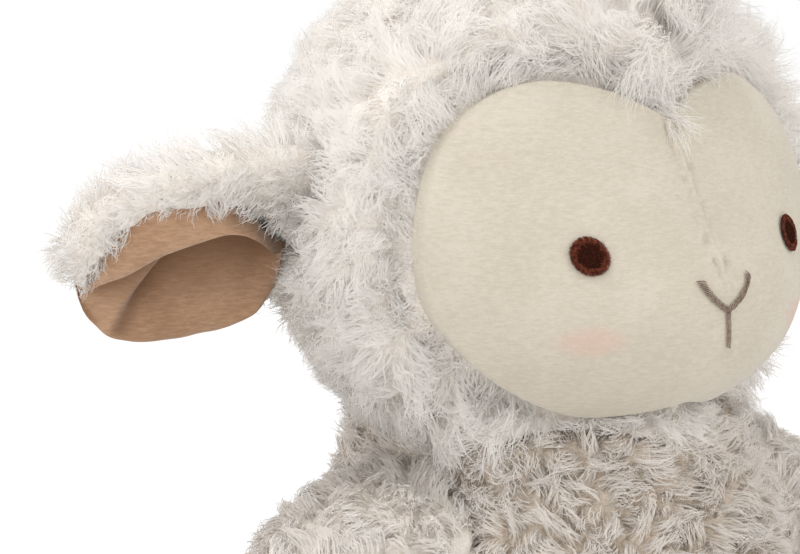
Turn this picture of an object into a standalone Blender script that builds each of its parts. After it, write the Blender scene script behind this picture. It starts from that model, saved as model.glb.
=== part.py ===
"""Seated plush lamb with a long-pile hood round a short-pile face.

Metres, +Z up. The lamb faces -Y, its left side is +X, and the origin is the centre of the flat seat on the ground.
Every fur panel is a shell from its backing cloth to the middle of its pile, over a stuffing core of its own.
"""

import math

import bmesh
import bpy
from mathutils import Vector

# The seams
GAP = 0.0003  # clearance between neighbouring pieces
WELD = 0.00001
CLOTH = 0.0025  # backing cloth, and the whole of the short-pile face

# Facets, shared by the surfaces that lie over each other
FACE_ROWS = 8
HOOD_ROWS = 13
HEAD_COLUMNS = 12  # of one half
TUMMY_COLUMNS = 8
BACK_COLUMNS = 22
SIDE_ROWS = 12
LID_ROWS = 2
POUCH_ROWS = 4  # of the side's rows
ARM_ROWS = 13
LEG_REAR_ROWS = 4
LEG_ROWS = 9
LIMB_COLUMNS = 18
EAR_REAR_ROWS = 3
EAR_ROWS = 12
EAR_COLUMNS = 20
LINING_COLUMNS = (3, 9)  # of the ear's columns, from the upper edge over the inner side
LINING_ROWS = (1, 11)

# Heights: the head, the neck and the arms are placed from the torso's top
TORSO_HEIGHT = 0.138
EYE_RISE = 0.052
NOD_DROP = 0.068
SHOULDER_DROP = 0.033
EAR_RISE = 0.0065  # above the eye line
HEAD_RISE = 0.007  # head centre above the eye line
EYE_LINE_Z = TORSO_HEIGHT + EYE_RISE
NOD_Z = TORSO_HEIGHT - NOD_DROP
ARM_ROOT_Z = TORSO_HEIGHT - SHOULDER_DROP

# Head: an egg of stuffing, measured on the middle of the pile
HEAD_HALF_WIDTH = 0.0815
HEAD_HALF_DEPTH = 0.0745
HEAD_HALF_HEIGHT = 0.0785
PILE = 0.0095
HEM_LENGTH = 0.012  # the pile thickens over this length from the face's edge
HEM_SHARE = 0.35
HOOD_BLEND = math.radians(48)
HOOD_SPACING = 1.35  # crowds the hood's rows towards the face

# Face: a shallow dome with a muzzle swelling out of it, placed from the eye line
FACE_HALF_WIDTH = 0.0734
FACE_DOME = 0.0348
FACE_HALF_HEIGHT = 0.0542
FACE_Y = -0.018
FACE_RISE = 0.0038
FACE_EDGE_SHARE = 0.985
MUZZLE_LENGTH = 0.0248
MUZZLE_DROP = 0.0274
MUZZLE_SPREAD = 0.0445
MUZZLE_SPREAD_UP = 0.0257
OUTLINE_DROP = 0.004
# Radius of the heart-shaped face, from the peak over the brow round to the chin
OUTLINE_SHARES = (0.50, 0.645, 0.835, 0.94, 0.966, 0.933, 0.82, 0.725, 0.605, 0.505)

# Embroidery
EYE_RADIUS = 0.0049
EYE_X = 0.0355
EYE_LIFT = 0.0
THREAD = 0.0009
NOSE_HALF_WIDTH = 0.0081
NOSE_TOP_DROP = 0.0078
NOSE_FORK_DROP = 0.0151
NOSE_FOOT_DROP = 0.0243
NOSE_THREAD_HALF_WIDTH = 0.0009

# Neck: a wad with a spherical crown that the head rides on
SOCKET_RADIUS = 0.086
NECK_PLAY = 0.0006

# Torso: heights as shares of TORSO_HEIGHT, then half-widths, fronts and backs as shares of their sizes
TORSO_HALF_WIDTH = 0.071
TORSO_FRONT = 0.075
TORSO_BACK = 0.066
TORSO_SHARES = (
    (0.0, 0.56, 0.58, 0.60),
    (0.03, 0.73, 0.74, 0.76),
    (0.13, 0.90, 0.90, 0.91),
    (0.31, 0.985, 0.985, 0.985),
    (0.50, 1.0, 1.0, 1.0),
    (0.69, 0.975, 0.96, 0.97),
    (0.85, 0.89, 0.855, 0.885),
    (0.94, 0.815, 0.765, 0.80),
    (0.985, 0.75, 0.70, 0.755),
    (1.0, 0.685, 0.645, 0.70),
)
SHOULDER_X = 0.0454  # the flat side that an arm is sewn to, at the torso's top
SHOULDER_SLOPE = math.radians(12)
TUMMY_ANGLE = math.radians(51)
PILE_BODY = 0.007

# Arms
ARM_ROOT_Y = -0.007
ARM_LENGTH = 0.098
ARM_HALF_THICKNESS = 0.0247
ARM_HALF_WIDTH = 0.032
ARM_FORWARD = math.radians(8)
ARM_FILLING_SHARE = 0.92
# Along the arm: place, slope below the horizontal in radians, thickness, width
ARM_SHARES = (
    (0.0, -0.133, 0.98, 0.98),
    (0.11, 0.25, 1.0, 1.0),
    (0.24, 0.60, 1.0, 0.97),
    (0.42, 0.78, 0.97, 0.90),
    (0.60, 0.80, 0.94, 0.83),
    (0.76, 0.78, 0.92, 0.79),
    (0.88, 0.75, 0.84, 0.71),
    (0.96, 0.75, 0.57, 0.48),
    (1.0, 0.75, 0.0, 0.0),
)

# Legs
LEG_ROOT_X = 0.037
LEG_ROOT_Y = -0.050
LEG_RADIUS = 0.0235
LEG_HALF_WIDTH = 0.0225
LEG_LENGTH = 0.086
LEG_SPLAY = math.radians(22)
LEG_FLAT = 0.0005
LEG_PLAY = 0.0006
LEG_REAR_SHARE = 0.84  # the root's half-width at its rear, where it is rounded
LEG_DOWN = math.radians(60)
LEG_UP = math.radians(12)
SOCKET_REACH = 0.060
# Along the leg from its hinge: place, height, width
LEG_SHARES = (
    (0.0, 1.0, 1.0),
    (0.25, 1.0, 1.01),
    (0.50, 0.97, 1.01),
    (0.72, 1.0, 1.05),
    (0.88, 1.03, 1.07),
    (0.965, 0.98, 1.01),
    (1.0, 0.85, 0.88),
)
SOLE_SHARE = 0.96
SOLE_THICKNESS = 0.0022
SOLE_DOME = 0.0014

# Ears
EAR_ROOT = Vector((0.0700, 0.0150, EYE_LINE_Z + EAR_RISE))
EAR_HINGE = Vector((-0.0135, 0.0350, -0.0450))  # along the sewn root, top to bottom
EAR_SWEEP = math.radians(25)
EAR_DROOP = math.radians(13)
EAR_LENGTH = 0.067
EAR_HALF_HEIGHT = 0.0295
EAR_THICKNESS = 0.0155
EAR_ROOT_RADIUS = 0.0055
EAR_PLAY = 0.0006
EAR_CUP = 0.007
EAR_LINING = 0.0018
EAR_FORWARD = math.radians(20)
EAR_BACK = math.radians(20)
# Along the ear: place, half-height, thickness
EAR_SHARES = (
    (0.0, 0.66, 0.66),
    (0.15, 0.82, 0.72),
    (0.35, 0.97, 0.96),
    (0.55, 1.0, 1.0),
    (0.75, 0.88, 0.95),
    (0.90, 0.60, 0.78),
    (0.97, 0.34, 0.52),
    (1.0, 0.0, 0.0),
)
EAR_POCKET_SHARE = 0.84

# Tail
TAIL_SLOPE = math.radians(34)
TAIL_SHARE = 0.38  # the root's height, as a share of the profile's rows
TAIL_ROOT_RADIUS = 0.006
TAIL_LENGTH = 0.038
TAIL_RADIUS = 0.016
TAIL_SHARES = ((0.0, 0.0), (0.03, 0.24), (0.12, 0.42), (0.30, 0.72), (0.55, 1.0), (0.78, 0.93), (0.93, 0.62), (1.0, 0.0))

HEAD = Vector((0, 0, EYE_LINE_Z + HEAD_RISE))
NOD = Vector((0, 0, NOD_Z))


def clear_scene():
    for obj in list(bpy.data.objects):
        bpy.data.objects.remove(obj)


def collection(name):
    made = bpy.data.collections.new(name)
    bpy.context.scene.collection.children.link(made)
    return made


def material(name, colour, roughness):
    made = bpy.data.materials.new(name)
    made.use_nodes = True
    made.diffuse_color = (*colour, 1)
    shader = made.node_tree.nodes["Principled BSDF"]
    shader.inputs["Base Color"].default_value = (*colour, 1)
    shader.inputs["Roughness"].default_value = roughness
    shader.inputs["Metallic"].default_value = 0
    return made


clear_scene()
LAMB = collection("plush_sheep")
CUTTERS = collection("cutters")
FUR = material("cream_long_pile", (0.78, 0.70, 0.60), 1.0)
VELBOA = material("cream_short_pile", (0.72, 0.65, 0.53), 1.0)
TAN = material("tan_short_pile", (0.52, 0.34, 0.21), 1.0)
EYE_THREAD = material("dark_brown_thread", (0.05, 0.014, 0.008), 0.45)
NOSE_THREAD = material("taupe_thread", (0.17, 0.11, 0.09), 0.55)
STUFFING = material("white_polyester_stuffing", (0.85, 0.85, 0.83), 1.0)
BEANS = material("white_bean_pouch", (0.80, 0.80, 0.78), 0.9)


def pivot(name, location, parent=None):
    """An empty on a joint's axis, which the pieces of its body hang from."""
    made = bpy.data.objects.new(name, None)
    made.location = Vector(location) - (parent.location if parent else Vector())
    made.parent = parent
    LAMB.objects.link(made)
    return made


def world_place(obj):
    place = Vector()
    while obj:
        place += obj.location
        obj = obj.parent
    return place


def add(name, bm, body, finish):
    """Makes a piece from a mesh in world coordinates, with its origin on the pivot of its body."""
    bmesh.ops.recalc_face_normals(bm, faces=bm.faces[:])
    if bm.calc_volume(signed=True) < 0:
        bmesh.ops.reverse_faces(bm, faces=bm.faces[:])
    bmesh.ops.translate(bm, verts=bm.verts[:], vec=-world_place(body))
    mesh = bpy.data.meshes.new(name)
    bm.to_mesh(mesh)
    bm.free()
    mesh.shade_smooth()
    mesh.set_sharp_from_angle(angle=math.radians(50))
    mesh.materials.append(finish)
    made = bpy.data.objects.new(name, mesh)
    made.parent = body
    LAMB.objects.link(made)
    return made


def cut(piece, cutter):
    modifier = piece.modifiers.new(cutter.name, "BOOLEAN")
    modifier.operation = "DIFFERENCE"
    modifier.object = cutter


def as_cutter(name, bm):
    bmesh.ops.recalc_face_normals(bm, faces=bm.faces[:])
    mesh = bpy.data.meshes.new(name)
    bm.to_mesh(mesh)
    bm.free()
    made = bpy.data.objects.new(name, mesh)
    made.hide_render = True
    made.display_type = "WIRE"
    CUTTERS.objects.link(made)
    return made


def form(columns, rows, outer, inner=None):
    """A grid laid over outer(u, v). With inner, the shell between the two surfaces. Without, any open end is filled."""
    bm = bmesh.new()
    bmesh.ops.create_grid(bm, x_segments=round(columns), y_segments=round(rows), size=1.0)
    across = bm.verts.layers.float.new("u")
    along = bm.verts.layers.float.new("v")
    for vert in bm.verts:
        vert[across] = min(max((vert.co.x + 1) / 2, 0), 1)
        vert[along] = min(max((vert.co.y + 1) / 2, 0), 1)
        vert.co = outer(vert[across], vert[along])
    bmesh.ops.remove_doubles(bm, verts=bm.verts[:], dist=WELD)
    bmesh.ops.triangulate(bm, faces=bm.faces[:], quad_method="FIXED")
    if inner is None:
        rim = [edge for edge in bm.edges if edge.is_boundary]
        if rim:
            bmesh.ops.holes_fill(bm, edges=rim, sides=0)
        return bm
    lifted = bmesh.ops.extrude_face_region(bm, geom=bm.faces[:])["geom"]
    for vert in lifted:
        if isinstance(vert, bmesh.types.BMVert):
            vert.co = inner(vert[across], vert[along])
    bmesh.ops.remove_doubles(bm, verts=bm.verts[:], dist=WELD)
    return bm


def smooth(t):
    t = min(max(t, 0), 1)
    return t * t * (3 - 2 * t)


def mix(a, b, t):
    return a + (b - a) * t


def spline(table, t):
    """A smooth curve through evenly spaced values, at t from 0 to 1."""
    place = min(max(t, 0), 1) * (len(table) - 1)
    i = min(int(place), len(table) - 2)
    t = place - i
    b, c = table[i], table[i + 1]
    a = table[i - 1] if i else b
    d = table[i + 2] if i + 2 < len(table) else c
    return b + t * (c - a + t * (2 * a - 5 * b + 4 * c - d + t * (3 * (b - c) + d - a))) / 2


def station(table, t):
    """The row of a table of shares at t from 0 to 1, its rows taken as evenly spaced."""
    return [spline([row[k] for row in table], t) for k in range(len(table[0]))]


def ending(table, t):
    """The same for a table whose sizes close to nothing at the end."""
    row = station(table, t)
    return [row[0]] + [max(value, 0) for value in row[1:]]


# Head surfaces, as radii from the head's centre


def face_y(x, z):
    """The face's surface at a height z over the eye line."""
    dome = 1 - (x / FACE_HALF_WIDTH) ** 2 - ((z - FACE_RISE) / FACE_HALF_HEIGHT) ** 2
    muzzle = (x / MUZZLE_SPREAD) ** 2 + ((z + MUZZLE_DROP) / MUZZLE_SPREAD_UP) ** 2
    return FACE_Y - FACE_DOME * math.sqrt(max(dome, 0)) - MUZZLE_LENGTH * math.exp(-muzzle / 2)


def on_face(x, z, lift=0):
    """A point over the face, lifted along its normal."""
    step = THREAD / 2
    slope_x = (face_y(x + step, z) - face_y(x - step, z)) / (2 * step)
    slope_z = (face_y(x, z + step) - face_y(x, z - step)) / (2 * step)
    normal = Vector((slope_x, -1, slope_z)).normalized()
    return Vector((x, face_y(x, z), EYE_LINE_Z + z)) + normal * lift


def face_radius(way):
    """Distance from the head's centre to the face along a direction that points forward."""
    near, far = 0, HEAD_HALF_WIDTH + FACE_DOME
    for _ in range(30):
        middle = (near + far) / 2
        point = way * middle
        if point.y > face_y(point.x, point.z + HEAD_RISE):
            near = middle
        else:
            far = middle
    return near


def rim_point(t):
    """The face's edge, from the peak at t = 0 round one side to the chin at t = 1."""
    turn = math.pi * t
    radius = FACE_HALF_WIDTH * spline(OUTLINE_SHARES, t)
    x = radius * math.sin(turn)
    z = radius * math.cos(turn) - OUTLINE_DROP
    reach = math.hypot(x / FACE_HALF_WIDTH, (z - FACE_RISE) / FACE_HALF_HEIGHT)
    pull = min(1, FACE_EDGE_SHARE / reach)
    x = x * pull
    z = FACE_RISE + (z - FACE_RISE) * pull
    return Vector((x, face_y(x, z), EYE_LINE_Z + z))


def rim(t):
    """The edge's direction from the head's centre: its turn about the Y axis, its angle from the front, and its radius."""
    out = rim_point(t) - HEAD
    return math.atan2(abs(out.x), out.z), math.acos(-out.y / out.length), out.length


def way(turn, angle, side):
    return Vector((side * math.sin(angle) * math.sin(turn), -math.cos(angle), math.sin(angle) * math.cos(turn)))


def egg_radius(direction, inset):
    return 1 / math.sqrt(
        (direction.x / (HEAD_HALF_WIDTH - inset)) ** 2
        + (direction.y / (HEAD_HALF_DEPTH - inset)) ** 2
        + (direction.z / (HEAD_HALF_HEIGHT - inset)) ** 2
    )


def hood_radius(t, angle, side):
    """The hood's backing cloth, which runs from the face's edge into the egg."""
    turn, edge_angle, edge_radius = rim(t)
    blend = smooth((angle - edge_angle) / HOOD_BLEND)
    return mix(edge_radius, egg_radius(way(turn, angle, side), PILE), blend)


def beside_seam(point, side):
    """Keeps a half of the head off the centre seam."""
    if side * point.x < GAP / 2:
        point.x = side * GAP / 2
    return point


def face_half(side, depth):
    def place(u, v):
        turn, edge_angle, edge_radius = rim(u if side > 0 else 1 - u)
        angle = (edge_angle - GAP / edge_radius / 2) * v
        direction = way(turn, angle, side)
        return beside_seam(HEAD + direction * (face_radius(direction) - depth), side)

    return place


def hood_half(side, outside):
    def place(u, v):
        t = u if side > 0 else 1 - u
        turn, edge_angle, edge_radius = rim(t)
        start = edge_angle + GAP / edge_radius / 2
        angle = mix(start, math.pi, v**HOOD_SPACING)
        direction = way(turn, angle, side)
        radius = hood_radius(t, angle, side)
        if outside:
            radius += PILE * mix(HEM_SHARE, 1, smooth((angle - start) * edge_radius / HEM_LENGTH))
        else:
            radius -= CLOTH
        return beside_seam(HEAD + direction * radius, side)

    return place


def head_core(u, v):
    side = 1 if u < 0.5 else -1
    t = 2 * u if u < 0.5 else 2 * (1 - u)
    turn, edge_angle, edge_radius = rim(t)
    split = FACE_ROWS / (FACE_ROWS + HOOD_ROWS)
    if v <= split:
        angle = edge_angle * v / split
        direction = way(turn, angle, side)
        return HEAD + direction * (face_radius(direction) - CLOTH - GAP)
    angle = mix(edge_angle, math.pi, ((v - split) / (1 - split)) ** HOOD_SPACING)
    return HEAD + way(turn, angle, side) * (hood_radius(t, angle, side) - CLOTH - GAP)


def ball(name, centre, radius, columns, rows):
    bm = bmesh.new()
    bmesh.ops.create_uvsphere(bm, u_segments=columns, v_segments=rows, radius=radius)
    bmesh.ops.translate(bm, verts=bm.verts[:], vec=centre)
    return as_cutter(name, bm)


# Bodies, each hung from a pivot on its joint's axis
torso = pivot("torso_pivot", (0, 0, 0))
neck = pivot("neck_pivot", (0, 0, TORSO_HEIGHT))
head = pivot("head_pivot", NOD)

socket_cutter = ball("socket_cutter", NOD, SOCKET_RADIUS, 48, 24)

for side, hand in ((-1, "right"), (1, "left")):
    add(f"face_panel_{hand}", form(HEAD_COLUMNS, FACE_ROWS, face_half(side, 0), face_half(side, CLOTH)), head, VELBOA)
    hood = form(HEAD_COLUMNS, HOOD_ROWS, hood_half(side, True), hood_half(side, False))
    hood = add(f"hood_panel_{hand}", hood, head, FUR)
    cut(hood, socket_cutter)

head_stuffing = add("head_stuffing", form(2 * HEAD_COLUMNS, FACE_ROWS + HOOD_ROWS, head_core), head, STUFFING)
cut(head_stuffing, socket_cutter)


def eye_disc(side, lift):
    def place(u, v):
        turn = 2 * math.pi * u
        return on_face(
            side * EYE_X + EYE_RADIUS * v * math.cos(turn),
            EYE_LIFT + EYE_RADIUS * v * math.sin(turn),
            lift + (THREAD / 3 * (1 - v * v) if lift > GAP else 0),
        )

    return place


for side, hand in ((-1, "right"), (1, "left")):
    add(f"eye_{hand}", form(20, 3, eye_disc(side, GAP + THREAD), eye_disc(side, GAP)), head, EYE_THREAD)


def nose_outline():
    """The sewn Y, three straight threads from one fork, as an outline in X and height."""
    fork = Vector((0, -NOSE_FORK_DROP))
    ends = (
        Vector((-NOSE_HALF_WIDTH, -NOSE_TOP_DROP)),
        Vector((0, -NOSE_FOOT_DROP)),
        Vector((NOSE_HALF_WIDTH, -NOSE_TOP_DROP)),
    )
    arms = [(end - fork) for end in ends]
    points = []
    for i, arm in enumerate(arms):
        ahead = arm.normalized()
        left = Vector((-ahead.y, ahead.x)) * NOSE_THREAD_HALF_WIDTH
        after = arms[(i + 1) % 3].normalized()
        for k in (1, 2, 3):
            points.append(fork + arm * (k / 3) - left)
        for k in (3, 2, 1):
            points.append(fork + arm * (k / 3) + left)
        corner = (ahead + after) / abs(ahead.x * after.y - ahead.y * after.x)
        points.append(fork + corner * NOSE_THREAD_HALF_WIDTH)
    return points


def nose():
    bm = bmesh.new()
    outline = nose_outline()
    back = [bm.verts.new(on_face(p.x, p.y, 2 * GAP)) for p in outline]
    bmesh.ops.triangulate(bm, faces=[bm.faces.new(back)])
    lifted = bmesh.ops.extrude_face_region(bm, geom=bm.faces[:])["geom"]
    for vert in lifted:
        if isinstance(vert, bmesh.types.BMVert):
            x, z = vert.co.x, vert.co.z - EYE_LINE_Z
            vert.co = vert.co + (on_face(x, z, THREAD) - on_face(x, z, 0))
    return bm


add("nose_stitching", nose(), head, NOSE_THREAD)


# Neck wad: a cap of the socket's sphere on the torso's flat top


def wad(u, v):
    radius = SOCKET_RADIUS - NECK_PLAY
    foot = TORSO_HEIGHT + GAP - NOD_Z
    angle = math.acos(foot / radius) * v
    turn = 2 * math.pi * u
    return NOD + Vector((math.sin(angle) * math.cos(turn), math.sin(angle) * math.sin(turn), math.cos(angle))) * radius


add("neck_wad", form(32, 7, wad), neck, STUFFING)

# Torso


def shoulder_x(z):
    """Half-width of the flat side, whose plane leans in towards the top."""
    return SHOULDER_X + (TORSO_HEIGHT - z) * math.tan(SHOULDER_SLOPE)


def torso_point(turn, t, inset):
    """The torso's side at a turn from the front and a share t of the way up its profile."""
    height, wide, front, back = station(TORSO_SHARES, t)
    z = mix(inset, TORSO_HEIGHT - inset, height)
    depth = TORSO_FRONT * front if math.cos(turn) > 0 else TORSO_BACK * back
    limit = shoulder_x(z) - inset
    x = (TORSO_HALF_WIDTH * wide - inset) * math.sin(turn)
    y = -(depth - inset) * math.cos(turn)
    return Vector((min(max(x, -limit), limit), y, z))


def torso_path(turn, v, inset, low, high):
    """Out from the axis, up the side between two of the profile's rows, and back in to the axis."""
    rows = high - low
    lid = LID_ROWS / (rows + 2 * LID_ROWS)
    up = min(max((v - lid) / (1 - 2 * lid), 0), 1)
    edge = torso_point(turn, mix(low, high, up) / SIDE_ROWS, inset)
    reach = min(1, v / lid, (1 - v) / lid)
    return Vector((edge.x * reach, edge.y * reach, edge.z))


def panel(first, last, inset, forward):
    def place(u, v):
        return torso_path(mix(first, last, u), v, inset, 0, SIDE_ROWS) + Vector((0, -forward, 0))

    return place


BODY_INSET = PILE_BODY + CLOTH


def core(low, high):
    """The filling inside the panels, between two of the profile's rows."""
    split = TUMMY_COLUMNS / (TUMMY_COLUMNS + BACK_COLUMNS)

    def place(u, v):
        if u < split:
            turn = mix(-TUMMY_ANGLE, TUMMY_ANGLE, u / split)
        else:
            turn = mix(TUMMY_ANGLE, 2 * math.pi - TUMMY_ANGLE, (u - split) / (1 - split))
        point = torso_path(turn, v, BODY_INSET + GAP, low, high)
        lid = LID_ROWS / (high - low + 2 * LID_ROWS)
        if high < SIDE_ROWS and v > 1 - lid - WELD:
            point.z -= GAP
        return point

    return place


# Arms: rings along a line that leaves the flat side square and bends down, with their roots pressed flat to it


def arm_ring(side, t):
    """Centre of a ring, its direction and its half-sizes."""
    steps = 40
    run, drop = 0, 0
    for k in range(steps):
        slope = station(ARM_SHARES, t * (k + 0.5) / steps)[1]
        length = station(ARM_SHARES, t * (k + 1) / steps)[0] - station(ARM_SHARES, t * k / steps)[0]
        run += ARM_LENGTH * length * math.cos(slope)
        drop += ARM_LENGTH * length * math.sin(slope)
    out = Vector((side * math.cos(ARM_FORWARD), -math.sin(ARM_FORWARD), 0))
    centre = Vector((side * shoulder_x(ARM_ROOT_Z), ARM_ROOT_Y, ARM_ROOT_Z)) + out * run - Vector((0, 0, drop))
    _, slope, thick, wide = station(ARM_SHARES, t)
    up = out * math.sin(slope) + Vector((0, 0, math.cos(slope)))
    across = Vector((-out.y, out.x, 0))
    return centre, up, across, ARM_HALF_THICKNESS * thick, ARM_HALF_WIDTH * wide


def shoulder_normal(side):
    return Vector((side * math.cos(SHOULDER_SLOPE), 0, math.sin(SHOULDER_SLOPE)))


def arm_point(side, turn, t, inset):
    centre, up, across, thick, wide = arm_ring(side, t)
    thick = max(thick - inset, 0)
    wide = max(wide - inset, 0)
    point = centre + up * thick * math.cos(turn) + across * wide * math.sin(turn)
    normal = shoulder_normal(side)
    off = (point - Vector((side * SHOULDER_X, 0, TORSO_HEIGHT))).dot(normal)
    if t == 0 or off < GAP:
        point += normal * (GAP - off)
    return point


def arm_surface(side, inset, end):
    """The arm out to a share of its length, closed there by a blunt point."""

    def place(u, v):
        if v == 1:
            return arm_ring(side, end)[0]
        return arm_point(side, 2 * math.pi * u, v * end, inset)

    return place


# Legs: rings along a level line, rounded about the hinge at the rear and open at the sole


def leg_frame(side):
    ahead = Vector((side * math.sin(LEG_SPLAY), -math.cos(LEG_SPLAY), 0))
    across = Vector((side * math.cos(LEG_SPLAY), math.sin(LEG_SPLAY), 0))
    return Vector((side * LEG_ROOT_X, LEG_ROOT_Y, LEG_RADIUS - LEG_FLAT)), ahead, across


def rounded(turn, power):
    c, s = math.cos(turn), math.sin(turn)
    return math.copysign(abs(c) ** (2 / power), c), math.copysign(abs(s) ** (2 / power), s)


def leg_point(side, turn, v, inset):
    hinge, ahead, across = leg_frame(side)
    rear = LEG_REAR_ROWS / (LEG_REAR_ROWS + LEG_ROWS)
    if v < rear:
        bend = math.pi / 2 * v / rear
        place = -(LEG_RADIUS - inset) * math.cos(bend)
        height = (LEG_RADIUS - inset) * math.sin(bend)
        width = LEG_HALF_WIDTH * mix(LEG_REAR_SHARE, 1, math.sin(bend)) - inset
        power = 3.4
    else:
        t = (v - rear) / (1 - rear)
        share, high, wide = station(LEG_SHARES, t)
        place = LEG_LENGTH * share
        height = LEG_RADIUS * high - inset
        width = LEG_HALF_WIDTH * wide - inset
        power = mix(3.4, 2.2, smooth(t * 1.6))
    c, s = rounded(turn, power)
    point = hinge + ahead * place + across * width * s + Vector((0, 0, height * c))
    point.z = max(point.z, inset)
    return point


def leg_surface(side, inset):
    def place(u, v):
        return leg_point(side, 2 * math.pi * u, v, inset)

    return place


def leg_socket(side, hand):
    """The hollow in the torso that a leg's rounded root turns in, through its whole range."""
    hinge, ahead, across = leg_frame(side)
    radius = LEG_RADIUS + LEG_PLAY
    top = math.pi / 2 + LEG_UP
    foot = 3 * math.pi / 2 - LEG_DOWN
    steps = 20
    outline = [(radius * math.cos(mix(top, foot, k / steps)), radius * math.sin(mix(top, foot, k / steps))) for k in range(steps + 1)]
    last, first = outline[-1], outline[0]
    outline.append((last[0] + SOCKET_REACH * math.cos(LEG_DOWN), last[1] - SOCKET_REACH * math.sin(LEG_DOWN)))
    outline.append((SOCKET_REACH * 2, last[1] - SOCKET_REACH * math.sin(LEG_DOWN)))
    outline.append((SOCKET_REACH * 2, first[1] + SOCKET_REACH * math.sin(LEG_UP)))
    outline.append((first[0] + SOCKET_REACH * math.cos(LEG_UP), first[1] + SOCKET_REACH * math.sin(LEG_UP)))
    half = LEG_HALF_WIDTH * 1.03 + LEG_PLAY
    return prism(f"leg_socket_cutter_{hand}", [hinge + ahead * x + Vector((0, 0, z)) for x, z in outline], across, half)


def prism(name, outline, along, half):
    bm = bmesh.new()
    bm.faces.new([bm.verts.new(point - along * half) for point in outline])
    lifted = bmesh.ops.extrude_face_region(bm, geom=bm.faces[:])["geom"]
    bmesh.ops.translate(bm, verts=[g for g in lifted if isinstance(g, bmesh.types.BMVert)], vec=along * half * 2)
    return as_cutter(name, bm)


def sole(side):
    """A disc that closes the foot, domed outwards."""
    hinge, ahead, across = leg_frame(side)
    height = LEG_RADIUS * LEG_SHARES[-1][1] * SOLE_SHARE
    width = LEG_HALF_WIDTH * LEG_SHARES[-1][2] * SOLE_SHARE
    levels = ((0, 0), (1, 0), (1, 0.5), (0.85, 0.9), (0.5, 1), (0, 1))

    def place(u, v):
        row = min(int(round(v * (len(levels) - 1))), len(levels) - 1)
        reach, out = levels[row]
        c, s = rounded(2 * math.pi * u, 2.2)
        dome = SOLE_DOME * (1 - reach * reach) if out else 0
        return (
            hinge
            + ahead * (LEG_LENGTH + GAP + SOLE_THICKNESS * out + dome)
            + across * width * reach * s
            + Vector((0, 0, height * reach * c))
        )

    return form(20, len(levels) - 1, place)


# Ears: cupped leaves, skewed along the sewn root that they hinge on


def ear_frame(side):
    root = Vector((side * EAR_ROOT.x, EAR_ROOT.y, EAR_ROOT.z))
    up = Vector((-side * EAR_HINGE.x, -EAR_HINGE.y, -EAR_HINGE.z)).normalized()
    ahead = Vector((
        side * math.cos(EAR_SWEEP) * math.cos(EAR_DROOP),
        math.sin(EAR_SWEEP) * math.cos(EAR_DROOP),
        -math.sin(EAR_DROOP),
    ))
    square = (ahead - up * ahead.dot(up)).normalized()
    face = square.cross(up) * side
    return root, ahead, up, square, face


def ear_cup(height, t):
    return EAR_CUP * height * height * smooth(t / 0.4)


def ear_point(side, turn, v, lift):
    """The ear's skin, lifted off its inner side; turn runs round a cross-section from its upper edge."""
    root, ahead, up, square, face = ear_frame(side)
    rear = EAR_REAR_ROWS / (EAR_REAR_ROWS + EAR_ROWS)
    if v < rear:
        bend = math.pi / 2 * v / rear
        height, thick = rounded(turn, 3)
        return (
            root
            - square * EAR_ROOT_RADIUS * math.cos(bend)
            + up * EAR_HALF_HEIGHT * EAR_SHARES[0][1] * mix(0.9, 1, math.sin(bend)) * height
            + face * EAR_ROOT_RADIUS * math.sin(bend) * thick
        )
    t = (v - rear) / (1 - rear)
    place, high, deep = ending(EAR_SHARES, t)
    spread = smooth(t / 0.3)
    half = mix(EAR_ROOT_RADIUS, EAR_THICKNESS / 2 * deep, spread)
    height, thick = rounded(turn, mix(3, 2, spread))
    return (
        root
        + ahead * EAR_LENGTH * place
        + up * EAR_HALF_HEIGHT * high * height
        + face * (ear_cup(high * height, t) + half * thick + lift)
    )


def ear_lining(side):
    """The tan inner cloth, over the same rows and columns as the ear's inner side."""

    def place(lift):
        def at(u, v):
            turn = 2 * math.pi * mix(*LINING_COLUMNS, u) / EAR_COLUMNS
            row = EAR_REAR_ROWS + mix(*LINING_ROWS, v)
            return ear_point(side, turn, row / (EAR_REAR_ROWS + EAR_ROWS), lift)

        return at

    columns = LINING_COLUMNS[1] - LINING_COLUMNS[0]
    rows = LINING_ROWS[1] - LINING_ROWS[0]
    return form(columns, rows, place(2 * GAP + EAR_LINING), place(2 * GAP))


def ear_pocket(side, hand):
    """The tuck in the hood that an ear's rounded root turns in."""
    root, _, up, square, face = ear_frame(side)
    radius = EAR_ROOT_RADIUS + EAR_PLAY
    top = math.pi / 2 + EAR_FORWARD
    foot = 3 * math.pi / 2 - EAR_BACK
    steps = 12
    outline = []
    for k in range(steps + 1):
        bend = mix(top, foot, k / steps)
        reach = radius + (EAR_LINING + 3 * GAP) * smooth(1 - 2 * k / steps)  # room for the lining, turned forward
        outline.append((reach * math.cos(bend), reach * math.sin(bend)))
    last, first = outline[-1], outline[0]
    outline.append((last[0] + EAR_LENGTH * math.cos(EAR_BACK), last[1] - EAR_LENGTH * math.sin(EAR_BACK)))
    outline.append((first[0] + EAR_LENGTH * math.cos(EAR_FORWARD), first[1] + EAR_LENGTH * math.sin(EAR_FORWARD)))
    half = EAR_HALF_HEIGHT * EAR_POCKET_SHARE
    return prism(f"ear_pocket_cutter_{hand}", [root + square * x + face * y for x, y in outline], up, half)


# Tail: a puff that tapers to a small round root


def tail_pivot():
    rear = torso_point(math.pi, TAIL_SHARE, 0)
    return Vector((0, rear.y + TAIL_ROOT_RADIUS + GAP, rear.z))


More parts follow.
